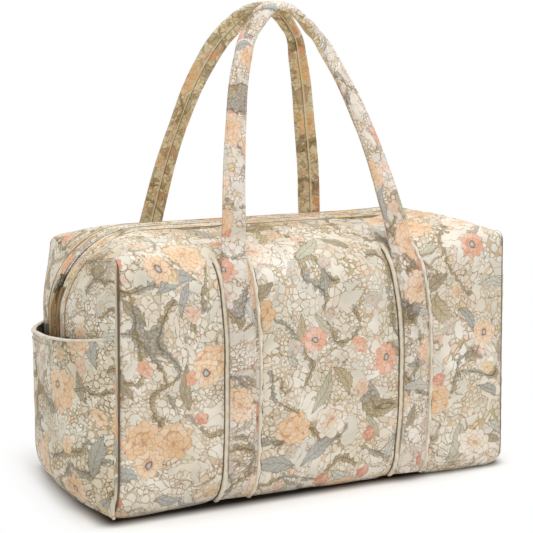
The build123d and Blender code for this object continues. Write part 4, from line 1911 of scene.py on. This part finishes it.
@dataclass
class CarryStrap:
    """One long carrying strap, sewn down on its two legs and rising in a free arch."""

    form: BodyForm
    panels: Panels
    plan: StrapPlan
    finishes: Finishes
    side: Side
    apex: tuple[float, float] = (0.0172, 0.5732)
    apex_shift: float = 0.004
    apex_width: float = 0.74
    apex_thick: float = 1.2
    leave: tuple[float, float] = (0.1345, 0.270)
    tail_height: float = 0.012
    tail_share: float = 0.085
    stitch_pitch: float = 0.0050
    legs: dict[tuple[Side, Side], tuple[LegRow, ...]] = field(default_factory=free_legs)

    def leg(self, hand: Side) -> tuple[list[Vector], list[Vector]]:
        """One leg's points, from the panel's foot up to the arch, and its outward directions there."""
        points: list[Vector] = []
        faces: list[Vector] = []
        skin = self.panels.skins[self.side]
        stand = self.plan.band_rise + self.plan.thickness / 2 + 0.0002
        for z in (self.plan.end_height, 0.085, 0.125, 0.165, 0.205, 0.24):
            probe = Vector((self.plan.line_x(hand, self.side, z), self.side.sign * self.form.s.half_depth, z))
            points.append(skin.lift(probe, stand))
            faces.append(skin.normal(probe))
        for row in self.legs[self.side, hand]:
            points.append(Vector((row.x, self.side.sign * self.lean_y(row.z), row.z)))
            faces.append(Vector((row.face[0], self.side.sign * row.face[1], row.face[2])))
        if hand is Side.HIGH:
            x = self.plan.line_x(hand, self.side, self.tail_height)
            probe = self.form.wall_point(x, self.tail_share, self.side)
            points.insert(0, skin.lift(probe, stand))
            faces.insert(0, skin.normal(probe))
        return points, faces

    def knots(self) -> tuple[list[Vector], list[Vector], int]:
        """The points that the strap's middle passes through, its outward directions, and the arch's place."""
        points, faces = self.leg(Side.LOW)
        peak = len(points)
        sign = self.side.sign
        points.append(Vector((-sign * self.apex_shift, sign * self.apex[0], self.apex[1])))
        faces.append(Vector((0.0, self.side.sign * 0.30, 0.954)))
        right_points, right_faces = self.leg(Side.HIGH)
        return points + right_points[::-1], faces + right_faces[::-1], peak

    def share_at(self, hand: Side, z: float) -> tuple[float, float]:
        """The strap's width and thickness at a height of one leg, as shares."""
        rows = self.legs[self.side, hand]
        width = tuple((row.z, row.width) for row in rows) + ((self.apex[1], self.apex_width),)
        thick = tuple((row.z, row.thick) for row in rows) + ((self.apex[1], self.apex_thick),)
        return along_table(width, z), along_table(thick, z)

    def lean_y(self, z: float) -> float:
        """How far the free strap stands from the middle of the bag at a height."""
        share = (z - self.leave[1]) / (self.apex[1] - self.leave[1])
        return lerp(self.leave[0], self.apex[0], share) + 0.004 * math.sin(math.pi * clamp(share))

    def build(self) -> None:
        """Makes the strap."""
        points, faces, peak = self.knots()
        route = Line.smooth(points)
        chords = Line(points)
        marks = [mark / chords.length for mark in chords.marks]
        half, thick = self.plan.width / 2, self.plan.thickness / 2

        def face_at(share: float) -> Vector:
            """The strap's outward direction, turned square to its line."""
            place = next((i for i in range(1, len(marks)) if marks[i] >= share), len(marks) - 1)
            run = marks[place] - marks[place - 1]
            rough = faces[place - 1].lerp(faces[place], ease((share - marks[place - 1]) / run))
            heading = route.heading(share)
            return (rough - heading * rough.dot(heading)).normalized()

        def place(u: float, v: float) -> Vector:
            """A point of the strap's skin."""
            turn = math.tau * u
            out = face_at(v)
            across = route.heading(v).cross(out)
            c, s = math.cos(turn), math.sin(turn)
            round_c = squared(c, self.plan.edge_power)
            round_s = squared(s, self.plan.face_power)
            z = route.at(v).z
            free = ease((z - 0.30) / 0.08)
            narrow, stout = self.share_at(Side.LOW if v < marks[peak] else Side.HIGH, z)
            lift = thick * stout * round_s
            if s < 0:
                lift -= s * 0.0014 * free * math.exp(-((round_c * half) / 0.0009) ** 2)
                lift += s * 0.0010 * free * math.exp(-((round_c * half - 0.0022) / 0.0011) ** 2)
            else:
                lift += 0.0006 * s * ripple(Vector((v * 9, round_c, 3.0 * self.side.sign)), 4.0)
                lift -= 0.0007 * s * math.exp(-((abs(round_c) * half - 0.0135) / 0.0012) ** 2)
            end = min(v, 1 - v) / 0.004
            taper = math.sqrt(clamp(end)) if end < 1 else 1.0
            return route.at(v) + across * (half * narrow * round_c) + out * (lift * lerp(0.35, 1.0, taper))

        rim = self.plan.rim()

        def chart(u: float, v: float) -> tuple[float, float]:
            """Its place on the flat cloth."""
            place = u * (len(rim.marks) - 1)
            low = min(int(place), len(rim.marks) - 2)
            girth = lerp(rim.marks[low], rim.marks[low + 1], place - low)
            return (self.plan.print_scale * girth,
                    self.plan.print_scale * route.length * v + 1.1 * self.side.sign)

        bm = sheet_mesh(Cells(48, 420), place, chart, closed=True)
        ends = [e for e in bm.edges if e.is_boundary]
        bmesh.ops.holes_fill(bm, edges=ends, sides=0)
        bmesh.ops.recalc_face_normals(bm, faces=bm.faces)
        layer = bm.loops.layers.uv[CHART]
        turn_at = self.plan.print_scale * rim.length / 2
        for face in bm.faces:
            middle = sum(loop[layer].uv.x for loop in face.loops) / len(face.loops)
            face.material_index = 1 if middle > turn_at else 0
        name = self.side.face
        piece = to_object(bm, name + "_strap")
        piece.data.materials.append(self.finishes.strap_cloth)
        dress(piece, self.finishes.strap_under_tint_and_shade, "print_cloth", name + "_handle")
        LOG.info("%s strap is %.3f m long", name, route.length)
        count = int(route.length / self.stitch_pitch)
        seats = []
        for u in (0.1273, 0.3727):
            for i in range(2, count - 1):
                v = i / count
                seats.append(Seat(place(u, v), route.heading(v), face_at(v)))
        Stitching(self.finishes).sew(seats, name + "_strap_stitches")


# The studio


@dataclass
class Studio:
    """Camera, floor and light as in the photograph."""

    camera_place: tuple[float, float, float] = (-0.68991, -1.44422, 0.51372)
    azimuth: float = -25.308
    pitch: float = 9.170
    roll: float = -0.197
    lens: float = 88.04
    floor_reach: float = 12.0
    ambient: float = 0.42
    bag_half: tuple[float, float] = (0.262, 0.118)
    # Where the floor is painted dark as a contact shadow, along x and along y.
    painted_shadow_across: tuple[float, float] = (0.280, 0.246)
    painted_shadow_along: tuple[float, float] = (0.136, 0.108)

    def build(self) -> None:
        """Sets up the whole studio."""
        self.camera()
        self.floor()
        self.world()
        self.lamp("key", (-0.9, -2.4, 2.3), 1.9, 22.5)
        self.lamp("fill", (1.9, -1.9, 1.7), 2.2, 11.0)
        self.lamp("top", (0.1, -0.2, 2.6), 2.2, 52.0)

    def camera(self) -> None:
        """Adds the camera."""
        data = bpy.data.cameras.new("camera")
        data.lens, data.sensor_width, data.sensor_fit = self.lens, 36.0, "HORIZONTAL"
        data.clip_start, data.clip_end = 0.05, 60.0
        eye = bpy.data.objects.new("camera", data)
        bpy.context.scene.collection.objects.link(eye)
        a, p = math.radians(self.azimuth), math.radians(self.pitch)
        gaze = Vector((-math.sin(a) * math.cos(p), math.cos(a) * math.cos(p), -math.sin(p)))
        turn = gaze.to_track_quat("-Z", "Y").to_matrix() @ Matrix.Rotation(math.radians(self.roll), 3, "Z")
        eye.matrix_world = Matrix.Translation(self.camera_place) @ turn.to_4x4()
        bpy.context.scene.camera = eye

    def floor(self) -> None:
        """Adds the pale floor, white to the camera but with the bag's shadow on it, and a painted contact shadow
        close round the bag's foot.
        """
        bm = bmesh.new()
        bmesh.ops.create_grid(bm, x_segments=2, y_segments=2, size=self.floor_reach)
        piece = to_object(bm, "floor")
        g = Graph.of_material("floor_paint")
        glow = g.node("ShaderNodeEmission", None, {"Color": ink(255, 255, 255), "Strength": 1.0})
        seen = g.seen("Is Transmission Ray")
        place = g.node("ShaderNodeTexCoord", None, None, "Object")
        here = g.split(place)
        far_x, far_y = here.across.size(), here.along.size()
        half_x, half_y = self.bag_half
        past = Point((far_x - half_x).most(0.0) * 3.0, (far_y - half_y).most(0.0)).reach()
        away = past.step(0.004, 0.12) * 0.6 + past.step(0.03, 0.2) * 0.4
        # Painted shadow: to the camera the floor is painted dark brown-grey just round the bag's foot, while
        # bounced light still sees it white.
        under = far_y.step(*self.painted_shadow_along) * far_x.step(*self.painted_shadow_across)
        paint = g.blend(under * seen, ink(250, 250, 250), ink(64, 58, 52))
        shadow = g.node("ShaderNodeBsdfDiffuse", None, {"Color": paint})
        g.show(g.node("ShaderNodeMixShader", None, {0: seen * away, 1: shadow, 2: glow}))
        piece.data.materials.append(g.block)

    def world(self) -> None:
        """Adds even light from all round and a white backdrop."""
        g = Graph(bpy.data.worlds.new("studio"))
        level = g.node("ShaderNodeMapRange", None, {0: g.seen(), 3: self.ambient, 4: 1.0})
        glow = g.node("ShaderNodeBackground", None, {"Color": ink(255, 255, 255), "Strength": level})
        g.show(glow, "ShaderNodeOutputWorld")
        bpy.context.scene.world = g.block

    def lamp(self, name: str, place: tuple[float, float, float], size: float, power: float) -> None:
        """Adds one soft lamp that points at the bag.

        Args:
            name: The lamp's name.
            place: Where it stands.
            size: The side of its square face.
            power: Its power in watts.
        """
        data = bpy.data.lights.new(name, "AREA")
        data.shape, data.size, data.energy = "SQUARE", size, power
        lamp = bpy.data.objects.new(name, data)
        bpy.context.scene.collection.objects.link(lamp)
        aim = Vector((0.0, 0.0, 0.2)) - Vector(place)
        lamp.matrix_world = Matrix.Translation(place) @ aim.to_track_quat("-Z", "Y").to_matrix().to_4x4()


def main() -> None:
    """Builds the bag's looks and the studio."""
    logging.basicConfig(level=logging.INFO, format="%(message)s")
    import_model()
    bpy.context.scene.view_settings.view_transform = "Standard"
    form = BodyForm(BodySizes.from_frame())
    plan = StrapPlan()
    finishes = Finishes(plan, form.section(0.0).length)
    panels = Panels(form, plan, finishes)
    panels.build()
    Zip(form, finishes).build()
    EndPocket(form, finishes, Side.LOW).build()
    EndPocket(form, finishes, Side.HIGH, half_width=0.119, bulge=0.011, rim_bulge=0.009).build()
    SeamPiping(form, finishes).build()
    StrapBands(form, panels, plan, finishes).build()
    for side in Side:
        CarryStrap(form, panels, plan, finishes, side).build()
    Studio().build()


if __name__ == "__main__":
    main()
